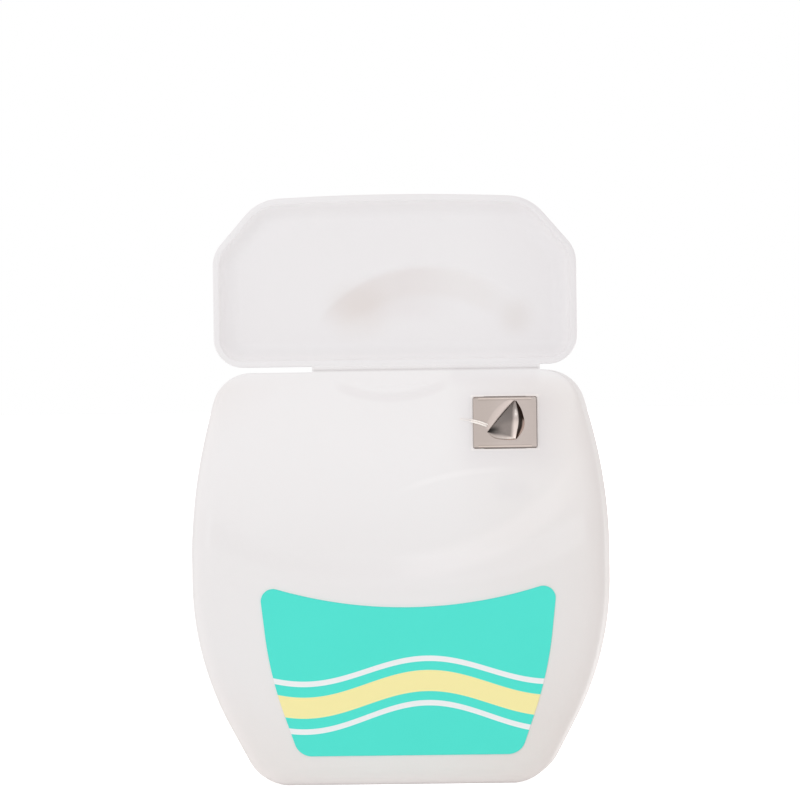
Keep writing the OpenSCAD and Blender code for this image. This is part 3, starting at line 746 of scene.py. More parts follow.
class Solid:
    """Points in millimetres and faces, collected until a piece is made of them."""

    def __init__(self):
        self.points, self.faces = [], []

    def add(self, points, faces):
        """Adds points, and faces that number them from zero."""
        start = len(self.points)
        self.points.extend(np.asarray(points, float).tolist())
        self.faces.extend([[start + i for i in face] for face in faces])
        return self

    def loft(self, first, rings, last):
        """A closed skin from a first middle point through rings to a last middle point."""
        count, end = len(rings[0]), 1 + len(rings) * len(rings[0])
        around = [(i, (i + 1) % count) for i in range(count)]
        faces = [[0, 1 + b, 1 + a] for a, b in around]
        for j in range(len(rings) - 1):
            row = 1 + j * count
            faces += [[row + a, row + b, row + b + count, row + a + count] for a, b in around]
        faces += [[end - count + a, end - count + b, end] for a, b in around]
        return self.add(np.vstack([[first], *rings, [last]]), faces)

    def grid(self, rows, back):
        """A closed sheet: a grid of points, another at the back, and the edges between."""
        height, width = rows.shape[:2]
        both = np.concatenate([rows.reshape(-1, 3), back.reshape(-1, 3)])
        offset = height * width
        faces = []
        for i in range(height - 1):
            for j in range(width - 1):
                a, b = i * width + j, (i + 1) * width + j
                faces.append([a, a + 1, b + 1, b])
                faces.append([offset + a, offset + b, offset + b + 1, offset + a + 1])
        rim = list(range(width))
        rim += [i * width + width - 1 for i in range(1, height)]
        rim += [(height - 1) * width + j for j in range(width - 2, -1, -1)]
        rim += [i * width for i in range(height - 2, 0, -1)]
        for a, b in zip(rim, rim[1:] + rim[:1]):
            faces.append([a, a + offset, b + offset, b])
        return self.add(both, faces)


def at_y(points, y):
    """Points in X and Z, placed at a depth, which may differ from point to point."""
    return np.stack([points[:, 0], np.broadcast_to(y, len(points)), points[:, 1]], axis=1)


# %% [markdown]
# A solid becomes an object whose faces point outwards and are shaded smooth, apart from its sharp
# edges. It sits at the origin with its place in its mesh, and seat lets it stand for its node of
# the model, so that it moves with the right body. Where a piece needs a hole, a boolean cuts it,
# and the result is made plain mesh at once.

# %% Objects from solids
sharp_angle = 35


def finish_mesh(mesh, sharp=sharp_angle):
    """Turns the faces outwards and shades them smooth, apart from edges sharper than an angle."""
    work = bmesh.new()
    work.from_mesh(mesh)
    bmesh.ops.recalc_face_normals(work, faces=work.faces)
    work.to_mesh(mesh)
    work.free()
    mesh.shade_smooth()
    mesh.set_sharp_from_angle(angle=math.radians(sharp))


def mesh_object(name, solid, material, sharp=sharp_angle):
    """An object at the origin, made of a Solid."""
    mesh = bpy.data.meshes.new(name)
    mesh.from_pydata((np.array(solid.points) * MM).tolist(), [], solid.faces)
    finish_mesh(mesh, sharp)
    mesh.materials.append(material)
    made = bpy.data.objects.new(name, mesh)
    scene.collection.objects.link(made)
    return made


def seat(piece, node, body):
    """Lets a piece stand for its node and move with its body."""
    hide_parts(node)
    if body:
        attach(piece, body)
    print(piece.name, len(piece.data.polygons), "faces")


def plain_mesh(piece):
    """A piece's mesh as its modifiers leave it."""
    graph = bpy.context.evaluated_depsgraph_get()
    return bpy.data.meshes.new_from_object(piece.evaluated_get(graph))


def cut(piece, solid):
    """Cuts a Solid out of a piece."""
    tool = mesh_object("cutting_shape", solid, piece.data.materials[0])
    modifier = piece.modifiers.new("cut", "BOOLEAN")
    modifier.operation, modifier.solver, modifier.object = "DIFFERENCE", "EXACT", tool
    mesh = plain_mesh(piece)
    piece.modifiers.clear()
    piece.data = mesh
    bpy.data.objects.remove(tool)
    mesh.shade_smooth()
    mesh.set_sharp_from_angle(angle=math.radians(sharp_angle))


# %% [markdown]
# The front shell has a flat deck under the lid. A soft step, which rises towards the sides, carries
# it forward into the lower face that the label sits on. The faces are height functions of X and Z,
# so the step stays smooth in the finer mesh. At the hinge the edge is nearly sharp, and it rounds
# off over the first millimetres of the sides.

# %% Faces of the case


def ease(t):
    """A smooth step from 0 to 1."""
    t = np.clip(t, 0, 1)
    return t * t * (3 - 2 * t)


def drop(x):
    """How far the crowned faces fall back towards the sides."""
    return crown * (2 * x / case_w) ** 2


def front_depth(p):
    """Distance of the front face from the middle of the case."""
    step_height = step_z + step_rise * (np.abs(p[:, 0]) / face_half) ** 3
    below_step = ease((step_height - p[:, 1]) / step_band + 0.5)
    return deck_front + below_step * (step_d - drop(p[:, 0]))


def rear_depth(p):
    """Distance of the rear face from the middle of the case."""
    return lower_front - drop(p[:, 0])


def shell_rings(skin, middle, depth, edge, shares, angles):
    """Rings of a face at its shares, then round its edge, for a skin inside the outer surface."""
    drawn_in = draft * np.abs(case_outs[:, 0])
    border = case_points - (drawn_in + skin + edge)[:, None] * case_outs
    face = [middle + (border - middle) * share for share in shares]
    rings = [at_y(p, skin - depth(p)) for p in face]
    for angle in np.radians(angles):
        inset = drawn_in + skin + edge * (1 - math.cos(angle))
        y = skin - depth(border) + edge * (1 - math.sin(angle))
        rings.append(at_y(case_points - inset[:, None] * case_outs, y))
    return rings


def side_ring(inset, y):
    """A ring of the case's outline, moved in and placed at a depth."""
    return at_y(case_points - inset * case_outs, y)


# %% Front shell
face_shares = np.linspace(0, 1, 61)[1:-1]
edge_angles = np.linspace(90, 0, 13)
inner_edge_angles = [90, 60, 30, 0]
parting_edge = 0.1

front_edge = hinge_edge_r + (edge_r - hinge_edge_r) * ease((case_h - case_points[:, 1]) / edge_fade)
inner_front_edge = np.maximum(front_edge - wall, np.minimum(inner_edge_r, front_edge))
front_middle = np.array([[0, front_mid_z]])
rebate_y = part_y - lip_h - lip_gap
outer = shell_rings(0, front_middle, front_depth, front_edge, face_shares, edge_angles)
inner = shell_rings(
    wall, front_middle, front_depth, inner_front_edge, face_shares[::2], inner_edge_angles
)
rim = [
    side_ring(0, part_y - parting_edge),
    side_ring(parting_edge, part_y),
    side_ring(lip_inset, part_y),
    side_ring(lip_inset, rebate_y),
    side_ring(wall, rebate_y),
]
front_shell = Solid().loft(
    at_y(front_middle, -front_depth(front_middle))[0],
    outer + rim + inner[::-1],
    at_y(front_middle, wall - front_depth(front_middle))[0],
)

# %% [markdown]
# Just under the hinge the deck carries a shallow raised lens, a trace of the ejector in the mould.
# It has a flat top side and a curved low side with a soft edge. Two curved ribs stand inside and
# lead the floss from the spool to the outlet. Over them the case carries faint lines of painted
# light.

# %% Lens
lens_w = 14.2
lens_h = 1.65
lens_t = 0.15
lens_edge = 0.75
lens_corner_r = 0.25
lens_z = case_h - 1.6
lens_sink = 0.01
lens_flat_share = 0.1


def lens_outline(w, h, z):
    """A flat top side with a shallow arc under it, drawn with blunt corners."""
    arc_x = np.linspace(-w / 2, w / 2, 13)
    arc = [[x, z - h * (1 - (2 * x / w) ** 2), lens_corner_r] for x in arc_x]
    return rounded(arc[1:-1] + [[w / 2, z, lens_corner_r], [-w / 2, z, lens_corner_r]])


lens_points, _ = lens_outline(lens_w, lens_h, lens_z)
lens_middle = np.array([[0, lens_z - lens_h / 2]])
lens_top = -deck_front - lens_t
lens_root = -deck_front + wall / 4
lens_rings = [at_y(lens_middle + (lens_points - lens_middle) * lens_flat_share, lens_top)]
for share in np.linspace(1, 0, 9):
    slope = lens_points + (lens_middle - lens_points) * share * lens_edge
    lens_rings.append(at_y(slope, lens_top + (lens_t + lens_sink) * float(ease(1 - share))))
lens_rings.append(at_y(lens_points, lens_root))
front_shell.loft(at_y(lens_middle, lens_top)[0], lens_rings, at_y(lens_middle, lens_root)[0])
print("lens:", lens_w, "by", lens_h, "mm")

# %% Ribs
rib_root = wall / 2
rib_play = 1.1
upper_rib_w = 0.5
lower_rib_w = 1.6
upper_rib_span = (80, 112)
lower_rib_span = (266, 316)


def curved_rib(centre, radius, span, width):
    """A rib of square section along an arc, standing on the inside of the deck."""
    angles = np.radians(np.linspace(*span, 41))
    root, crest = -deck_front + rib_root, spool_front - rib_play
    rows = []
    for angle in angles:
        out = np.array([math.cos(angle), math.sin(angle)])
        near, far = (centre + out * (radius + side * width / 2) for side in (-1, 1))
        section = [(near, root), (near, crest), (far, crest), (far, root)]
        rows.append([[p[0], y, p[1]] for p, y in section])
    middle_first, middle_last = np.mean(rows[0], axis=0), np.mean(rows[-1], axis=0)
    front_shell.loft(middle_first, [np.array(row) for row in rows], middle_last)


curved_rib(upper_rib_middle, upper_rib_r, upper_rib_span, upper_rib_w)
curved_rib(lower_rib_middle, lower_rib_r, lower_rib_span, lower_rib_w)
print("front shell:", len(front_shell.faces), "faces before the holes")

# %% [markdown]
# The floss leaves through a round outlet and a shallow channel beside it, and the cutter's legs
# pass through two slots. All lie under the steel, so they are cut into the flat part of the deck,
# where a boolean leaves the shading alone.

# %% Outlet and slots
front_piece = mesh_object("front_half", front_shell, case_plastic)
slot_gap = 0.05
slot_half_t = cutter_t / 2 + slot_gap
slot_half_w = leg_w / 2 + slot_gap
leg_z = (cutter_h - cutter_t) / 2
overrun = 1.0
channel_d = 0.6
channel_x = (outlet[0] - 2.6, outlet[0] - 0.5)
channel_z = (outlet[1] - 0.3, outlet[1] + 0.5)


def block(x, y, z):
    """A box between pairs of X, Y and Z."""
    corners = [[x[i], y[j], z[k]] for i in (0, 1) for j in (0, 1) for k in (0, 1)]
    sides = [[0, 1, 3, 2], [4, 6, 7, 5], [0, 4, 5, 1], [2, 3, 7, 6], [0, 2, 6, 4], [1, 5, 7, 3]]
    return corners, sides


def round_bar(centre, radius, y, sides=48):
    """A round bar along Y between two depths."""
    turns = np.linspace(0, 2 * math.pi, sides, endpoint=False)
    ring = centre + radius * np.stack([np.cos(turns), np.sin(turns)], axis=1)
    middle = np.array([centre])
    first, last = at_y(middle, y[0])[0], at_y(middle, y[1])[0]
    return Solid().loft(first, [at_y(ring, y[0]), at_y(ring, y[1])], last)


through = (-deck_front - overrun, -deck_front + wall + overrun)
holes = round_bar(outlet, outlet_r, through)
for side in (-1, 1):
    z = cutter_z + side * leg_z
    slot_x = (cutter_x - slot_half_w, cutter_x + slot_half_w)
    holes.add(*block(slot_x, through, (z - slot_half_t, z + slot_half_t)))
cut(front_piece, holes)
channel = block(channel_x, (through[0], -deck_front + channel_d), channel_z)
cut(front_piece, Solid().add(*channel))
seat(front_piece, "front_shell", "case")

# %% [markdown]
# The rear shell is the plain half. Its rim carries the lip that snaps into the front shell, and the
# two meet in a fine line round the sides, where both edges are broken by a tenth of a millimetre.
# Inside it carries the pegs for the spool carrier.

# %% Rear shell
peg_r = 2.2
peg_tip_r = 1.2
peg_tip_gap = 0.2
spindle_peg_r = 2.75
peg_place_shares = [(0, -0.65), (-0.5, 0.5)]
rear_edge = np.full(len(case_points), edge_r)
rear_middle = np.array([[0, mid_z]])


def mirrored(rings):
    """Rings turned from the front to the rear."""
    return [ring * [1, -1, 1] for ring in rings]


plain_shares = np.linspace(0, 1, 25)[1:-1]
outer = shell_rings(0, rear_middle, rear_depth, rear_edge, plain_shares, edge_angles)
inner = shell_rings(
    wall, rear_middle, rear_depth, rear_edge - wall, plain_shares, inner_edge_angles
)
rim = [
    side_ring(0, part_y + parting_edge),
    side_ring(parting_edge, part_y),
    side_ring(lip_inset + lip_gap, part_y),
    side_ring(lip_inset + lip_gap, part_y - lip_h),
    side_ring(wall, part_y - lip_h),
]
rear_shell = Solid().loft(
    [0, lower_front, mid_z],
    mirrored(outer) + rim + mirrored(inner)[::-1],
    [0, lower_front - wall, mid_z],
)
spool_axis = np.array([0, spool_z])
bars = []
for share in peg_place_shares:
    peg = spool_axis + carrier_r * np.array(share)
    bars += [(peg, peg_r, carrier_back), (peg, peg_tip_r, carrier_front + peg_tip_gap)]
bars.append((spool_axis, spindle_peg_r, carrier_front - wall))
for middle, radius, front in bars:
    bar = round_bar(middle, radius, (front, lower_front - wall / 2))
    rear_shell.add(bar.points, bar.faces)
seat(mesh_object("rear_half", rear_shell, case_plastic), "rear_shell", "case")

# %% [markdown]
# The lid is a shallow tray, seen from its inside. Its floor meets the wall in a generous sweep,
# and an arched hollow marks where the plastic flows in from the hinge. The hollow is part of the
# same height function as the floor, with a crisp crown and feet that fade out.

# %% Rings of the lid
lid_rim_r = 0.2


def lid_back(p):
    """Depth of the lid's outer face."""
    return rim_y + lid_d - drop(p[:, 0])


def lid_floor(p):
    """Depth of the lid's inner face, with its arched hollow."""
    inward = ease((arch_r - np.linalg.norm(p - arch_middle, axis=1)) / arch_edge)
    fade = ease((p[:, 1] - lid_z - arch_rise) / arch_fade + 0.5)
    return lid_back(p) - lid_wall + arch_t * inward * fade


def lid_ring(inset, y):
    """A ring of the lid's outline, moved in and placed at a depth."""
    return at_y(lid_points - inset * lid_outs, y)


def lid_edge_ring(radius, angle):
    """A ring round the edge between the lid's outer wall and its back."""
    y = lid_back(lid_points - radius * lid_outs) - radius * (1 - math.sin(angle))
    return lid_ring(radius * (1 - math.cos(angle)), y)


def lid_rim_ring(inset, inwards, angle):
    """A ring round one of the rim's two edges, which rounds inwards (1) or outwards (-1)."""
    inset = inset + inwards * lid_rim_r * (1 - math.cos(angle))
    return lid_ring(inset, rim_y + lid_rim_r * (1 - math.sin(angle)))


def lid_face_rings(inset, depth, shares):
    """Rings of one of the lid's faces."""
    middle = np.array([[0, lid_mid_z]])
    border = lid_points - inset * lid_outs
    return [at_y(p, depth(p)) for p in (middle + (border - middle) * share for share in shares)]


# %% Lid
rim_w = 0.8
sweep_w = 2.5
sweep_h = 2.1

quarter = np.radians(np.linspace(90, 0, 10))
rings = lid_face_rings(lid_edge_r, lid_back, plain_shares)
rings += [lid_edge_ring(lid_edge_r, angle) for angle in quarter]
rings += [lid_rim_ring(0, 1, angle) for angle in quarter[::-2]]
rings += [lid_rim_ring(rim_w, -1, angle) for angle in quarter[::2]]
floor_border = lid_points - (rim_w + sweep_w) * lid_outs
for angle in np.radians(np.linspace(0, 90, 19)):
    y = lid_back(floor_border) - lid_wall - sweep_h * (1 - math.sin(angle))
    rings.append(lid_ring(rim_w + sweep_w * (1 - math.cos(angle)), y))
rings += lid_face_rings(rim_w + sweep_w, lid_floor, np.linspace(1, 0, 61)[1:-1])
lid_middle = np.array([[0, lid_mid_z]])
back_middle = at_y(lid_middle, lid_back(lid_middle))[0]
floor_middle = at_y(lid_middle, lid_floor(lid_middle))[0]
lid = Solid().loft(back_middle, rings, floor_middle)
seat(mesh_object("flip_lid", lid, case_plastic), "lid", "lid")

# %% [markdown]
# The hinge is a web of the same plastic, thin enough to bend thousands of times. Two creases run
# along it, where the real one is thinnest. It isn't rigid, so it doesn't ride on one body.

# %% Hinge web
web_overlap = 0.12
web_low = case_h - web_overlap
web_high = lid_z + web_overlap
hollow_edge = 0.23
web_sharp_angle = 50
crease_d = 0.07
crease_half = 0.07
creases = [case_h + 0.22, lid_z - 0.11]
web_zs = [web_low, case_h]
for crease in creases:
    web_zs += [crease + share * crease_half for share in (-1, -0.5, 0, 0.5, 1)]
web_zs = sorted(web_zs + [(creases[0] + creases[1]) / 2, lid_z, web_high])


def web_front(z):
    """Depth of the web's front face, with its two creases."""
    near = min(abs(z - crease) for crease in creases)
    return rim_y + crease_d * float(ease(1 - near / crease_half))


def web_rear(z):
    """Depth of the web's rear face, which is hollowed between case and lid."""
    inside = min(z - case_h, lid_z - z)
    return rim_y + web_t - web_t / 3 * float(ease(inside / hollow_edge))


web_xs = web_x + np.linspace(-web_w / 2, web_w / 2, 57)
web_front_rows = np.array([[[x, web_front(z), z] for x in web_xs] for z in web_zs])
web_rear_rows = np.array([[[x, web_rear(z), z] for x in web_xs] for z in web_zs])
web = Solid().grid(web_front_rows, web_rear_rows)
web_piece = mesh_object("hinge_strip", web, case_plastic, web_sharp_angle)
seat(web_piece, "hinge_web", None)
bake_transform(web_piece)

# %% [markdown]
# The cutter is a small plate of spring steel, bent over at the top and the bottom, with legs
# through the deck. A tooth is lanced out of the sheet: it is cut free along its upper left edge,
# where the floss passes under it, and drawn up to a ridge. First come the curves of the tooth, as
# points on the plate counted from its middle: the free edge, the ridge, the foot on the right,
# and the fold below.

# %% Tooth curves
free_edge = [(1.15, 2.66), (0.37, 1.72), (-0.45, 0.76), (-1.27, -0.19), (-2.16, -1.13)]
ridge = [
    (1.33, 2.62), (1.46, 1.89), (1.6, 1.16), (1.64, 0.3), (1.52, -0.67), (1.37, -1.48),
    (1.27, -1.98),
]
right_foot = [
    (1.44, 2.6), (1.99, 1.64), (2.26, 0.74), (2.38, 0.13), (2.32, -0.57), (1.97, -1.28),
    (1.42, -1.98),
]
fold = [(-2.16, -1.13), (-1.33, -1.18), (-0.24, -1.37), (0.75, -1.67), (1.27, -1.98)]
fold_foot = [(-2.18, -1.2), (-1.35, -1.86), (-0.32, -2.09), (0.68, -2.13), (1.35, -2.05)]
curve_steps = 24
tooth_rows, face_columns, foot_columns, band_rows = 41, 31, 9, 9


def smooth_curve(points, count):
    """Points spread evenly along a smooth curve through the given ones."""
    points = np.array(points, float)
    padded = np.vstack([2 * points[0] - points[1], points, 2 * points[-1] - points[-2]])
    dense = []
    for a, b, c, d in zip(padded, padded[1:], padded[2:], padded[3:]):
        for t in np.linspace(0, 1, curve_steps, endpoint=False):
            squared, cubed = 2 * a - 5 * b + 4 * c - d, 3 * b - a - 3 * c + d
            dense.append(b + ((c - a) * t + squared * t ** 2 + cubed * t ** 3) / 2)
    dense = np.array(dense + [points[-1]])
    run = np.concatenate([[0], np.cumsum(np.linalg.norm(np.diff(dense, axis=0), axis=1))])
    even = np.linspace(0, run[-1], count)
    return np.stack([np.interp(even, run, axis) for axis in dense.T], axis=1)


edge_line = smooth_curve(free_edge, tooth_rows)
ridge_line = smooth_curve(ridge, tooth_rows)
foot_line = smooth_curve(right_foot, tooth_rows)
fold_line = smooth_curve(fold, face_columns)
fold_foot_line = smooth_curve(fold_foot, face_columns)
free_edge_length = float(np.linalg.norm(edge_line[-1] - edge_line[0]))
print("free edge:", round(free_edge_length, 2), "mm long")

# %% [markdown]
# The tooth's sheet is a grid between those curves. Its face rises from the free edge and flattens
# towards the ridge, and falls steeply to the foot on the right. The share down the tooth runs
# from 0 at its top to 1 at the fold, and the share across from 0 at the free edge to 1 at the
# ridge, so each height is a short function of the two.

# %% Heights of the tooth
tooth_h = 1.1
free_edge_h = 0.3
fold_foot_h = 0.3
down = np.linspace(0, 1, tooth_rows)
across = np.linspace(0, 1, face_columns)
to_foot = np.linspace(0, 1, foot_columns + 1)[1:]
flat_from = np.interp(down, [0, 0.25, 0.5, 1], [0.35, 0.5, 0.68, 0.85])
edge_h = free_edge_h * np.sin(math.pi * down) ** 0.7
ridge_h = tooth_h * np.sin(math.pi * np.clip(down * 0.9, 0, 1)) ** 0.6
fold_h = np.interp(across, [0, 0.3, 1], [0, fold_foot_h, ridge_h[-1]])
print("ridge:", round(float(ridge_h.max()), 2), "mm high")


def tooth_face(i):
    """Points and heights of one row of the face, from the free edge to the ridge."""
    flat = flat_from[i]
    reached = flat / (flat + (1 - flat) / 2)
    curved = 1 - (1 - reached) * ((1 - across) / (1 - flat)) ** 2
    rise = np.where(across < flat, reached * across / flat, curved)
    t = across[:, None]
    straight_fold = edge_line[-1] + (ridge_line[-1] - edge_line[-1]) * t
    face = edge_line[i] + (ridge_line[i] - edge_line[i]) * t
    face = face + (fold_line - straight_fold) * down[i] ** 3
    height = edge_h[i] + (ridge_h[i] - edge_h[i]) * rise
    return face, height + (fold_h - height) * down[i] ** 4


# %% [markdown]
# A second number for each point says how much darker the steel is painted there, as shade in place
# of its reflections, and goes with the mesh as an attribute that the steel reads; below zero it is
# painted brighter, as a highlight. The face is painted dark, and darker in its low left corner. The
# ridge gets a painted highlight in its lower half, and the side towards the foot is painted
# darkest, with one painted glint.

# %% Painted shade and highlights of the tooth
face_painted_shade = 1.05
corner_painted_shade = 0.75
foot_painted_shade = 1.71
painted_glint = -3.2
ridge_shine_and_shade = np.interp(
    down, [0, 0.2, 0.45, 0.7, 0.88, 1], [0.35, 0.5, -0.05, -0.5, -0.65, -1.3]
)
fold_shine_and_shade = np.interp(across, [0, 0.3, 0.65, 0.8, 1], [0.6, 0.25, -0.1, -1.1, -1.3])


def tooth_painted_reflection(i):
    """How dark each point of one row is, on the face and then towards the foot."""
    on_ridge = ease((across - flat_from[i]) / 0.2 + 0.35)
    face = face_painted_shade * (1 - on_ridge) + ridge_shine_and_shade[i] * on_ridge
    corner = ease((down[i] - 0.74) / 0.2) * ease((0.55 - across) / 0.5)
    glint = ease((down[i] - 0.45) / 0.1) * ease((0.95 - down[i]) / 0.1)
    glint = glint * ease((to_foot - 0.6) / 0.2)
    return np.concatenate([face + corner_painted_shade * corner, foot_painted_shade + painted_glint * glint])


# %% [markdown]
# The rows of the face and of the side make the tooth, and below its last row it folds back down
# to the plate in a rounded band. Heights are counted from the plate towards the front of the
# box, which is where Y gets smaller.

# %% Tooth grid
sheet_t = 0.22
side_power = 1.3
band_painted_share = 0.5


def tooth_grid():
    """Rows of [right, up, height] from the tooth's top to its foot, and how dark each point is."""
    rows, dark = [], []
    k = to_foot[:, None]
    for i in range(tooth_rows):
        face, face_height = tooth_face(i)
        side = ridge_line[i] + (foot_line[i] - ridge_line[i]) * k
        heights = np.concatenate([face_height, ridge_h[i] * (1 - to_foot ** side_power)])
        rows.append(np.column_stack([np.vstack([face, side]), heights]))
        dark.append(tooth_painted_reflection(i))
    last, last_dark = rows[-1], dark[-1]
    below_side = fold_foot_line[-1] + (foot_line[-1] - fold_foot_line[-1]) * k
    foot = np.vstack([fold_foot_line, below_side])
    for share in np.linspace(0, 1, band_rows + 1)[1:]:
        turn = share * math.pi / 2
        band = last[:, :2] + (foot - last[:, :2]) * math.sin(turn)
        rows.append(np.column_stack([band, last[:, 2] * math.cos(turn)]))
        folded = ease(share / band_painted_share)
        fold_dark = last_dark[:face_columns] * (1 - folded) + fold_shine_and_shade * folded
        dark.append(np.concatenate([fold_dark, last_dark[face_columns:]]))
    return np.array(rows), np.array(dark)


def on_plate(points, sink=0.0):
    """Points of [right, up, height] on the plate, as [x, y, z]."""
    right, up, height = np.moveaxis(np.asarray(points), -1, 0)
    return np.stack([cutter_x + right, plate_front - height + sink, cutter_z + up], axis=-1)


tooth_points, tooth_dark = tooth_grid()
print("tooth stands", round(float(tooth_points[..., 2].max()), 2), "mm off the plate")

# %% [markdown]
# The plate comes from rings, with edges that are round where the sheet bends and sharp where it
# is cut. It has a real opening under the tooth, so that the strand can come up through it, and
# Blender's polygon tessellator fills the flat faces between outline and opening. On the left of
# the free edge a narrow strip rolls down into the opening, and catches the light in a soft band,
# which its steel also paints brighter as a highlight.

# %% Edges and opening of the plate
plate_corner_r = 0.25
cut_edge_r = 0.08
bend_edge_r = 0.29
roll_w = 1.1
roll_d = 0.14
roll_way = np.array([-0.766, 0.643])
opening_share = 0.985
half_w, half_h = cutter_w / 2, cutter_h / 2

plate_points, plate_outs = rounded([
    [cutter_x + right * half_w, cutter_z + up * half_h, plate_corner_r]
    for right, up in [(1, -1), (1, 1), (-1, 1), (-1, -1)]
])
plate_edge = cut_edge_r + (bend_edge_r - cut_edge_r) * np.abs(plate_outs[:, 1]) ** 4
plate_rings = []
for angle in np.radians(np.linspace(90, 0, 9)):
    inset = (plate_edge * (1 - math.cos(angle)))[:, None] * plate_outs
    plate_rings.append(at_y(plate_points - inset, plate_front + plate_edge * (1 - math.sin(angle))))
plate_rings.append(at_y(plate_points, rim_y))

spread = np.sin(math.pi * down) ** 0.4
roll_start = edge_line + roll_way * (roll_w * spread)[:, None]
roll_rows = []
for k in np.linspace(0, 1, 11):
    strip = roll_start + (edge_line - roll_start) * k
    roll_rows.append(np.column_stack([strip, -roll_d * spread * k ** 2.2]))
roll_rows = np.array(roll_rows)

opening = np.vstack([roll_start, fold_foot_line[1:], foot_line[::-1][1:]])
opening_middle = opening.mean(axis=0)
opening = opening_middle + (opening - opening_middle) * opening_share + [cutter_x, cutter_z]
print("opening:", len(opening), "points")

# %% Plate of the cutter


def plate_with_opening():
    """The plate's edges from rings, and its flat sides between the outline and the opening."""
    count, hole = len(plate_points), len(opening)
    points = np.vstack([*plate_rings, at_y(opening, plate_front), at_y(opening, rim_y)])
    ends, base, faces = (len(plate_rings) - 1) * count, len(plate_rings) * count, []
    for j in range(len(plate_rings) - 1):
        for i in range(count):
            a, b = j * count + i, j * count + (i + 1) % count
            faces.append([a, b, b + count, a + count])
    for i in range(hole):
        a, b = base + i, base + (i + 1) % hole
        faces.append([a, a + hole, b + hole, b])
    for outer, inner in [(0, base), (ends, base + hole)]:
        numbers = [outer + i for i in range(count)] + [inner + i for i in range(hole)]
        corners = [Vector(points[n]) for n in numbers]
        triangles = tessellate_polygon([corners[:count], corners[count:]])
        faces += [[numbers[i] for i in triangle] for triangle in triangles]
    return Solid().add(points, faces)


cutter = plate_with_opening()
print("plate:", len(cutter.faces), "faces")

# %% [markdown]
# The tooth, the rolled strip and the two legs join the plate in one solid. The painted shade and
# highlights go with the points in the same order: painted shade on the plate's cut edges, most on
# the right, a trace of painted shine on its face, the tooth's own numbers, painted dark inside the
# tooth, and a painted highlight on the rolled strip.

# %% Cutter
roll_t = 0.1
plate_shine = -0.06
roll_shine = -0.25
hidden_painted_shade = 1.8
edge_painted_shade = {(1, 0): 1.45, (0, 1): 0.1, (-1, 0): 0.8, (0, -1): 0.95}
edge_shade_rings = 4

round_the_edge = sum(
    dark * np.maximum(plate_outs @ np.array(way), 0) for way, dark in edge_painted_shade.items()
)
painted_reflection = []
for j in range(len(plate_rings)):
    painted_reflection += (round_the_edge * min(1, j / edge_shade_rings)).tolist()
painted_reflection += [plate_shine] * (2 * len(opening))
cutter.grid(on_plate(tooth_points), on_plate(tooth_points, sheet_t))
painted_reflection += tooth_dark.ravel().tolist() + [hidden_painted_shade] * tooth_dark.size
cutter.grid(on_plate(roll_rows), on_plate(roll_rows, roll_t))
painted_reflection += [roll_shine] * (len(roll_rows) * tooth_rows)
for side in (-1, 1):
    z = cutter_z + side * leg_z
    cutter.add(*block(
        (cutter_x - leg_w / 2, cutter_x + leg_w / 2),
        (rim_y - cutter_t / 3, rim_y + wall + leg_reach),
        (z - cutter_t / 2, z + cutter_t / 2),
    ))
painted_reflection += [0.0] * (len(cutter.points) - len(painted_reflection))
cutter_piece = mesh_object("cutter_plate", cutter, cutter_steel)
painted_reflection_layer = cutter_piece.data.attributes.new("painted_reflection", "FLOAT", "POINT")
painted_reflection_layer.data.foreach_set("value", painted_reflection)
seat(cutter_piece, "cutter", "case")

# %% [markdown]
# The strand comes from the spool, through the eye of the carrier and the outlet, and lies over
# the plate's left edge. Its route is one smooth curve through chosen points. The places along it
# are counted from what the strand passes: the post, the outlet and the plate.

# %% Route of the strand
route_steps = 240
post = outlet + np.array([-2.2, -2.2])
eye_y = -deck_front + wall + 5.4
spool_mid_y = (spool_back + spool_front) / 2
floss_route = [
    (0, spool_mid_y, spool_z + winding_r + floss_d / 2 + 0.1),
    (post[0] - 4.8, (spool_mid_y + 2 * eye_y) / 3, post[1] - 0.1),
    (post[0] - 1.6, eye_y, post[1]),
    (post[0] + 1.6, eye_y, post[1]),
    (outlet[0] - 0.5, eye_y - 1, post[1] + 0.5),
    (outlet[0], eye_y - 2.5, outlet[1] - 1.1),
    (outlet[0], rim_y + 1.8, outlet[1] - 0.17),
    (outlet[0] - 0.2, rim_y + 0.7, outlet[1]),
    (outlet[0] - 0.9, rim_y + 0.3, outlet[1] + 0.05),
    (cutter_x - 1.7, rim_y + 0.12, cutter_z - 0.36),
    (cutter_x - 2.15, plate_front + 0.12, cutter_z - 0.32),
    (cutter_x - 2.5, plate_front - 0.13, cutter_z - 0.22),
    (cutter_x - 3.0, plate_front - 0.22, cutter_z - 0.02),
    (cutter_x - half_w, plate_front - 0.2, cutter_z + 0.22),
    (cutter_x - half_w - 0.6, plate_front + 0.06, cutter_z + 0.36),
    (cutter_x - 5.5, rim_y - 0.1, cutter_z + 0.5),
]
route_curve = bpy.data.curves.new("floss_route", "CURVE")
route_curve.dimensions = "3D"
route_points = smooth_curve(floss_route, route_steps) * MM
route_spline = route_curve.splines.new("POLY")
route_spline.points.add(len(route_points) - 1)
weights = np.ones(len(route_points))
route_spline.points.foreach_set("co", np.column_stack([route_points, weights]).ravel())
route_run = float(np.linalg.norm(np.diff(route_points, axis=0), axis=1).sum())
print("strand:", round(route_run / MM, 1), "mm from the winding to its end")

# %% [markdown]
# Real floss is a bundle of loosely twisted filaments. One round cord would be simpler, but its
# free end would look like wire. Geometry Nodes sweep a round section along the route, once for
# each filament, with the twist as a named input, and thin the filaments towards the free end.
# The tree's result is kept as plain mesh, so the exported model needs no modifiers.

# %% Geometry node helpers


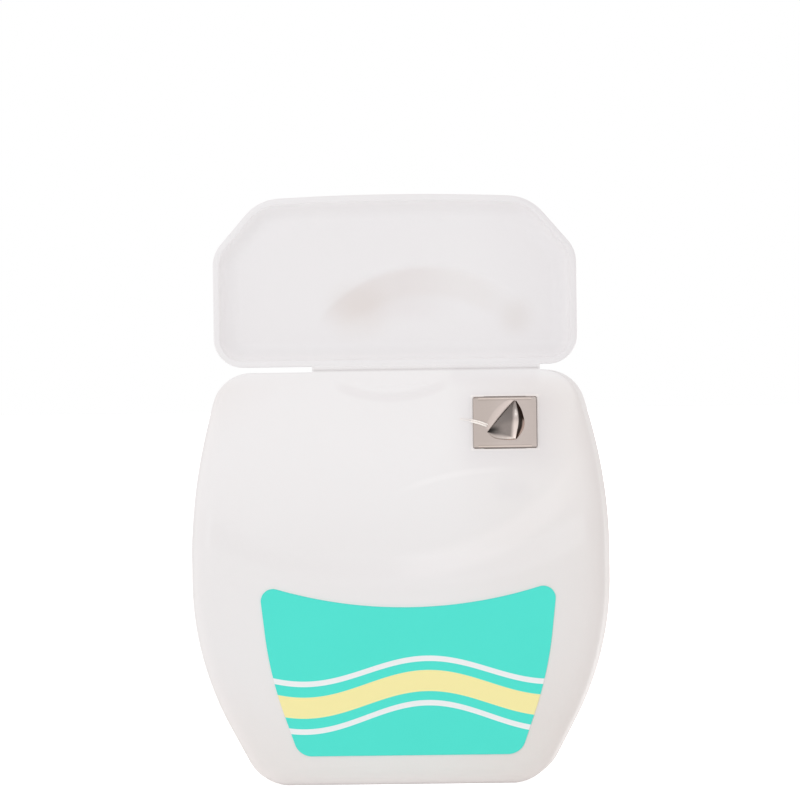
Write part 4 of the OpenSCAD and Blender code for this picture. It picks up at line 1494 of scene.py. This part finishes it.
def geometry_tree(name, inputs):
    """A Geometry Nodes tree with named inputs, and its nodes for what goes in and comes out."""
    tree = bpy.data.node_groups.new(name, "GeometryNodeTree")
    tree.interface.new_socket("Geometry", in_out="INPUT", socket_type="NodeSocketGeometry")
    for key, kind in inputs.items():
        tree.interface.new_socket(key, in_out="INPUT", socket_type="NodeSocket" + kind)
    tree.interface.new_socket("Geometry", in_out="OUTPUT", socket_type="NodeSocketGeometry")
    return tree, tree.nodes.new("NodeGroupInput"), tree.nodes.new("NodeGroupOutput")


def grown(name, data, tree, values):
    """Runs a tree on an object's data with named values, and keeps the result as plain mesh."""
    made = bpy.data.objects.new(name, data)
    scene.collection.objects.link(made)
    modifier = made.modifiers.new("nodes", "NODES")
    modifier.node_group = tree
    for item in tree.interface.items_tree:
        if item.in_out == "INPUT" and item.name in values:
            modifier[item.identifier] = values[item.name]
    bpy.context.view_layer.update()
    mesh = plain_mesh(made)
    bpy.data.objects.remove(made)
    finish_mesh(mesh)
    piece = bpy.data.objects.new(name, mesh)
    scene.collection.objects.link(piece)
    return piece


def swept(tree, curve, radius, sides, thickness=None):
    """A round section of a radius, swept along a curve, and thinned where that is given."""
    section = add_node(tree, "GeometryNodeCurvePrimitiveCircle", {"Resolution": sides})
    sweep = add_node(tree, "GeometryNodeCurveToMesh", {"Fill Caps": True})
    link(tree, (radius, section.inputs["Radius"]), (curve, sweep.inputs["Curve"]),
         (section.outputs["Curve"], sweep.inputs["Profile Curve"]))
    if thickness:
        link(tree, (thickness, sweep.inputs["Scale"]))
    return sweep.outputs["Mesh"]


def dressed(tree, meshes, material, out):
    """Joins meshes, makes them real and gives them their material."""
    joined = add_node(tree, "GeometryNodeJoinGeometry")
    real = add_node(tree, "GeometryNodeRealizeInstances")
    painted = add_node(tree, "GeometryNodeSetMaterial", {"Material": material})
    for mesh in meshes:
        tree.links.new(mesh, joined.inputs[0])
    link(tree, (joined.outputs[0], real.inputs[0]), (real.outputs[0], painted.inputs["Geometry"]),
         (painted.outputs[0], out.inputs[0]))


# %% Twisted strand
fray_power = 3.0
fray_tip = 0.22
section_sides = 8
strand_tree, given, result = geometry_tree(
    "twisted_strand",
    {"Filament radius": "Float", "Offset": "Float", "Turn length": "Float",
     "First turn": "Float", "Frayed share": "Float"},
)
asked = given.outputs
along = add_node(strand_tree, "GeometryNodeSplineParameter")
tangent = add_node(strand_tree, "GeometryNodeInputTangent").outputs[0]
normal = add_node(strand_tree, "GeometryNodeInputNormal").outputs[0]
sideways = add_node(strand_tree, "ShaderNodeVectorMath", operation="CROSS_PRODUCT")
link(strand_tree, (tangent, sideways.inputs[0]), (normal, sideways.inputs[1]))
turns = math_node(strand_tree, "DIVIDE", along.outputs["Length"], asked["Turn length"])
turns = math_node(strand_tree, "ADD", turns, asked["First turn"])
left = math_node(strand_tree, "SUBTRACT", 1.0, along.outputs["Factor"])
left = math_node(strand_tree, "DIVIDE", left, asked["Frayed share"])
left = math_node(strand_tree, "MINIMUM", left, 1.0)
thinned = math_node(strand_tree, "POWER", left, fray_power)
thinned = math_node(strand_tree, "MAXIMUM", thinned, fray_tip)
filaments = []
for phase in (0, 0.5):
    angle = math_node(strand_tree, "ADD", turns, phase)
    angle = math_node(strand_tree, "MULTIPLY", angle, 2 * math.pi)
    parts = []
    for operation, way in (("COSINE", normal), ("SINE", sideways.outputs[0])):
        reach = math_node(strand_tree, operation, angle)
        reach = math_node(strand_tree, "MULTIPLY", reach, asked["Offset"])
        part = add_node(strand_tree, "ShaderNodeVectorMath", operation="SCALE")
        link(strand_tree, (way, part.inputs[0]), (reach, part.inputs["Scale"]))
        parts.append(part.outputs[0])
    offset = add_node(strand_tree, "ShaderNodeVectorMath", operation="ADD")
    moved = add_node(strand_tree, "GeometryNodeSetPosition")
    link(strand_tree, (parts[0], offset.inputs[0]), (parts[1], offset.inputs[1]),
         (asked["Geometry"], moved.inputs["Geometry"]),
         (offset.outputs[0], moved.inputs["Offset"]))
    filament = swept(
        strand_tree, moved.outputs[0], asked["Filament radius"], section_sides, thinned
    )
    filaments.append(filament)
dressed(strand_tree, filaments, floss_fibre, result)
strand = grown("floss_strand", route_curve, strand_tree, {
    "Filament radius": 0.11 * MM, "Offset": 0.12 * MM, "Turn length": 20 * MM,
    "First turn": 0.0, "Frayed share": 0.07,
})
seat(strand, "floss_lead", "case")

# %% [markdown]
# On the spool the same floss lies turn beside turn. A spiral node draws the outer layer as one
# long helix and a plain core fills the rest, so the winding looks wound without a hundred metres
# of mesh.

# %% Winding
round_steps = 96
winding_front, winding_back = spool_front + flange_t, spool_back - flange_t
winding_turns = math.floor((winding_back - winding_front) / floss_d)
wound_tree, given, result = geometry_tree(
    "wound_floss",
    {"Turns": "Float", "Width": "Float", "Radius": "Float", "Floss radius": "Float"},
)
asked = given.outputs
helix = add_node(wound_tree, "GeometryNodeCurveSpiral", {"Resolution": round_steps})
core = add_node(wound_tree, "GeometryNodeMeshCylinder", {"Vertices": round_steps})
link(wound_tree, (asked["Radius"], helix.inputs["Start Radius"]),
     (asked["Radius"], helix.inputs["End Radius"]), (asked["Turns"], helix.inputs["Rotations"]),
     (asked["Width"], helix.inputs["Height"]), (asked["Radius"], core.inputs["Radius"]),
     (asked["Width"], core.inputs["Depth"]))
lowered = add_node(wound_tree, "ShaderNodeCombineXYZ")
centred = add_node(wound_tree, "GeometryNodeTransform")
wound = swept(wound_tree, helix.outputs[0], asked["Floss radius"], section_sides)
link(wound_tree, (math_node(wound_tree, "MULTIPLY", asked["Width"], -0.5), lowered.inputs["Z"]),
     (wound, centred.inputs["Geometry"]), (lowered.outputs[0], centred.inputs["Translation"]))
dressed(wound_tree, [centred.outputs[0], core.outputs["Mesh"]], floss_fibre, result)
winding = grown("wound_floss", bpy.data.meshes.new("seed"), wound_tree, {
    "Turns": winding_turns - 0.5,
    "Width": (winding_back - winding_front - floss_d) * MM,
    "Radius": (winding_r - floss_d / 2) * MM,
    "Floss radius": floss_d / 2 * MM,
})
winding_middle = Vector((0, (winding_front + winding_back) / 2 * MM, spool_z * MM))
lying = Matrix.Rotation(math.radians(90), 4, "X")
winding.data.transform(Matrix.Translation(winding_middle) @ lying)
seat(winding, "floss_winding", "spool")

# %% [markdown]
# The films are thin enough to follow the crowned faces. Each is a loft from its middle to its
# outline and back, a tenth of a millimetre thick, with the same small gap to the face as glue
# would fill. The lower front has the same crown as the rear, so one function makes both films.

# %% Outlines of the labels
label_x, label_z = 1.2, 3.63
label_base = [13.5, 0]
label_mid = [16.95, 10]
label_top = [18.2, 21]
label_dip = [0, 15.6]
label_base_r = 2.2
label_top_r = 1.5
label_side_share = 0.45
label_dip_share = 0.87
rear_label_w = 30.0
rear_label_h = 24.0
rear_label_r = 2.0

label_far_top = [-label_top[0], label_top[1]]
label_points, label_outs = rounded(both_sides([
    [*label_base, label_base_r],
    [*label_mid, blunt_r(label_base, label_mid, label_top, label_side_share)],
    [*label_top, label_top_r],
    [*label_dip, blunt_r(label_far_top, label_dip, label_top, label_dip_share)],
]))
label_points = label_points + [label_x, label_z]
rear_points, rear_outs = rounded(both_sides([
    [rear_label_w / 2, mid_z - rear_label_h / 2, rear_label_r],
    [rear_label_w / 2, mid_z + rear_label_h / 2, rear_label_r],
]))
print("label points:", len(label_points), "in front,", len(rear_points), "at the rear")

# %% Labels
label_t = 0.1
glue_gap = 0.02
film_edge = 0.03
label_middle = [label_x, label_z + 8]


def laid(points, side, height):
    """Points at a height over the glue on the front (-1) or rear (1) face."""
    return at_y(points, side * (rear_depth(points) + glue_gap + height))


def film(points, outs, middle, side):
    """A thin film on the front (-1) or rear (1) face."""
    middle = np.array([middle])
    shares = np.linspace(0, 1, 13)[1:-1]
    inside = points - film_edge * outs
    rings = [laid(middle + (inside - middle) * share, side, label_t) for share in shares]
    rings.append(laid(inside, side, label_t))
    rings += [laid(points, side, height) for height in (label_t - film_edge, 0)]
    rings += [laid(middle + (points - middle) * share, side, 0) for share in shares[::-1]]
    return Solid().loft(laid(middle, side, label_t)[0], rings, laid(middle, side, 0)[0])


front_label = film(label_points, label_outs, label_middle, -1)
front_label_piece = mesh_object("front_film", front_label, front_film)
seat(front_label_piece, "front_label", "case")
rear_label = film(rear_points, rear_outs, [0, mid_z], 1)
rear_label_piece = mesh_object("rear_film", rear_label, rear_film)
seat(rear_label_piece, "rear_label", "case")

# %% [markdown]
# The spool and its carrier are plain mouldings that the model already has right, so their own nodes
# stay and only get their material.

# %% Spool and carrier
for node in ("spool", "spool_carrier"):
    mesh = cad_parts[node].data
    mesh.materials.clear()
    mesh.materials.append(spool_plastic)
    print(node, len(mesh.polygons), "faces")

# %% [markdown]
# The studio is a pale floor and a white surround. Light Path tells camera and mirror rays, which
# see plain white, from the soft light that falls on the object. The floor glows a little more for
# the camera, so it clips to white but keeps the soft shadow where the box stands.

# %% Surround
ambient = 0.82
ambient_colour = (1.0, 0.972, 0.96, 1)


def seen_white(tree):
    """One for rays that see the surroundings: from the camera, off a mirror or through glass."""
    rays = add_node(tree, "ShaderNodeLightPath").outputs
    seen = math_node(tree, "MAXIMUM", rays["Is Glossy Ray"], rays["Is Transmission Ray"])
    return math_node(tree, "MAXIMUM", rays["Is Camera Ray"], seen)


world = bpy.data.worlds.new("surround")
scene.world = world
world.use_nodes = True
world_tree = world.node_tree
world_tree.nodes.clear()
soft_light = add_node(
    world_tree, "ShaderNodeBackground", {"Color": ambient_colour, "Strength": ambient}
)
white = add_node(world_tree, "ShaderNodeBackground", {"Color": (1, 1, 1, 1), "Strength": 1})
mix = add_node(world_tree, "ShaderNodeMixShader")
out = add_node(world_tree, "ShaderNodeOutputWorld")
link(world_tree, (seen_white(world_tree), mix.inputs[0]), (soft_light.outputs[0], mix.inputs[1]),
     (white.outputs[0], mix.inputs[2]), (mix.outputs[0], out.inputs[0]))
print("soft light:", ambient)

# %% Floor
floor_size = 60000.0
floor_seen_glow = 0.6
floor_glow = 0.18

floor_material, floor_tree, floor_shader = new_material(
    "floor", 0.9, Base_Color=(0.85, 0.85, 0.85, 1), Emission_Color=(1, 1, 1, 1)
)
seen = seen_white(floor_tree)
glow = math_node(floor_tree, "MULTIPLY_ADD", seen, floor_seen_glow, floor_glow)
floor_tree.links.new(glow, floor_shader.inputs["Emission Strength"])
half = floor_size / 2
corners = [[-half, -half, 0], [half, -half, 0], [half, half, 0], [-half, half, 0]]
floor_piece = mesh_object("floor", Solid().add(corners, [[0, 1, 2, 3]]), floor_material)
print("floor:", floor_size * MM, "m wide")

# %% [markdown]
# One large lamp stands in front, high and to the left, as a softbox does. It is weak, because the
# surround already gives most of the light, and only models the raised forms a little.

# %% Lamp
lamp_place = (-130, -400, 260)
lamp_aim = (-15, 0, 50)
lamp_size = 200
lamp_power = 0.32
lamp_colour = (0.9, 0.97, 1.0)

softbox = bpy.data.lights.new("key", "AREA")
softbox.shape, softbox.size, softbox.energy = "SQUARE", lamp_size * MM, lamp_power
softbox.color = lamp_colour
lamp = bpy.data.objects.new("key", softbox)
scene.collection.objects.link(lamp)
aimed = Vector(np.subtract(lamp_aim, lamp_place)).to_track_quat("-Z", "Y")
lamp.matrix_world = Matrix.Translation([MM * c for c in lamp_place]) @ aimed.to_matrix().to_4x4()
print("lamp:", lamp_power, "W,", lamp_size, "mm wide")

# %% Finish
scene.view_settings.view_transform = "Standard"
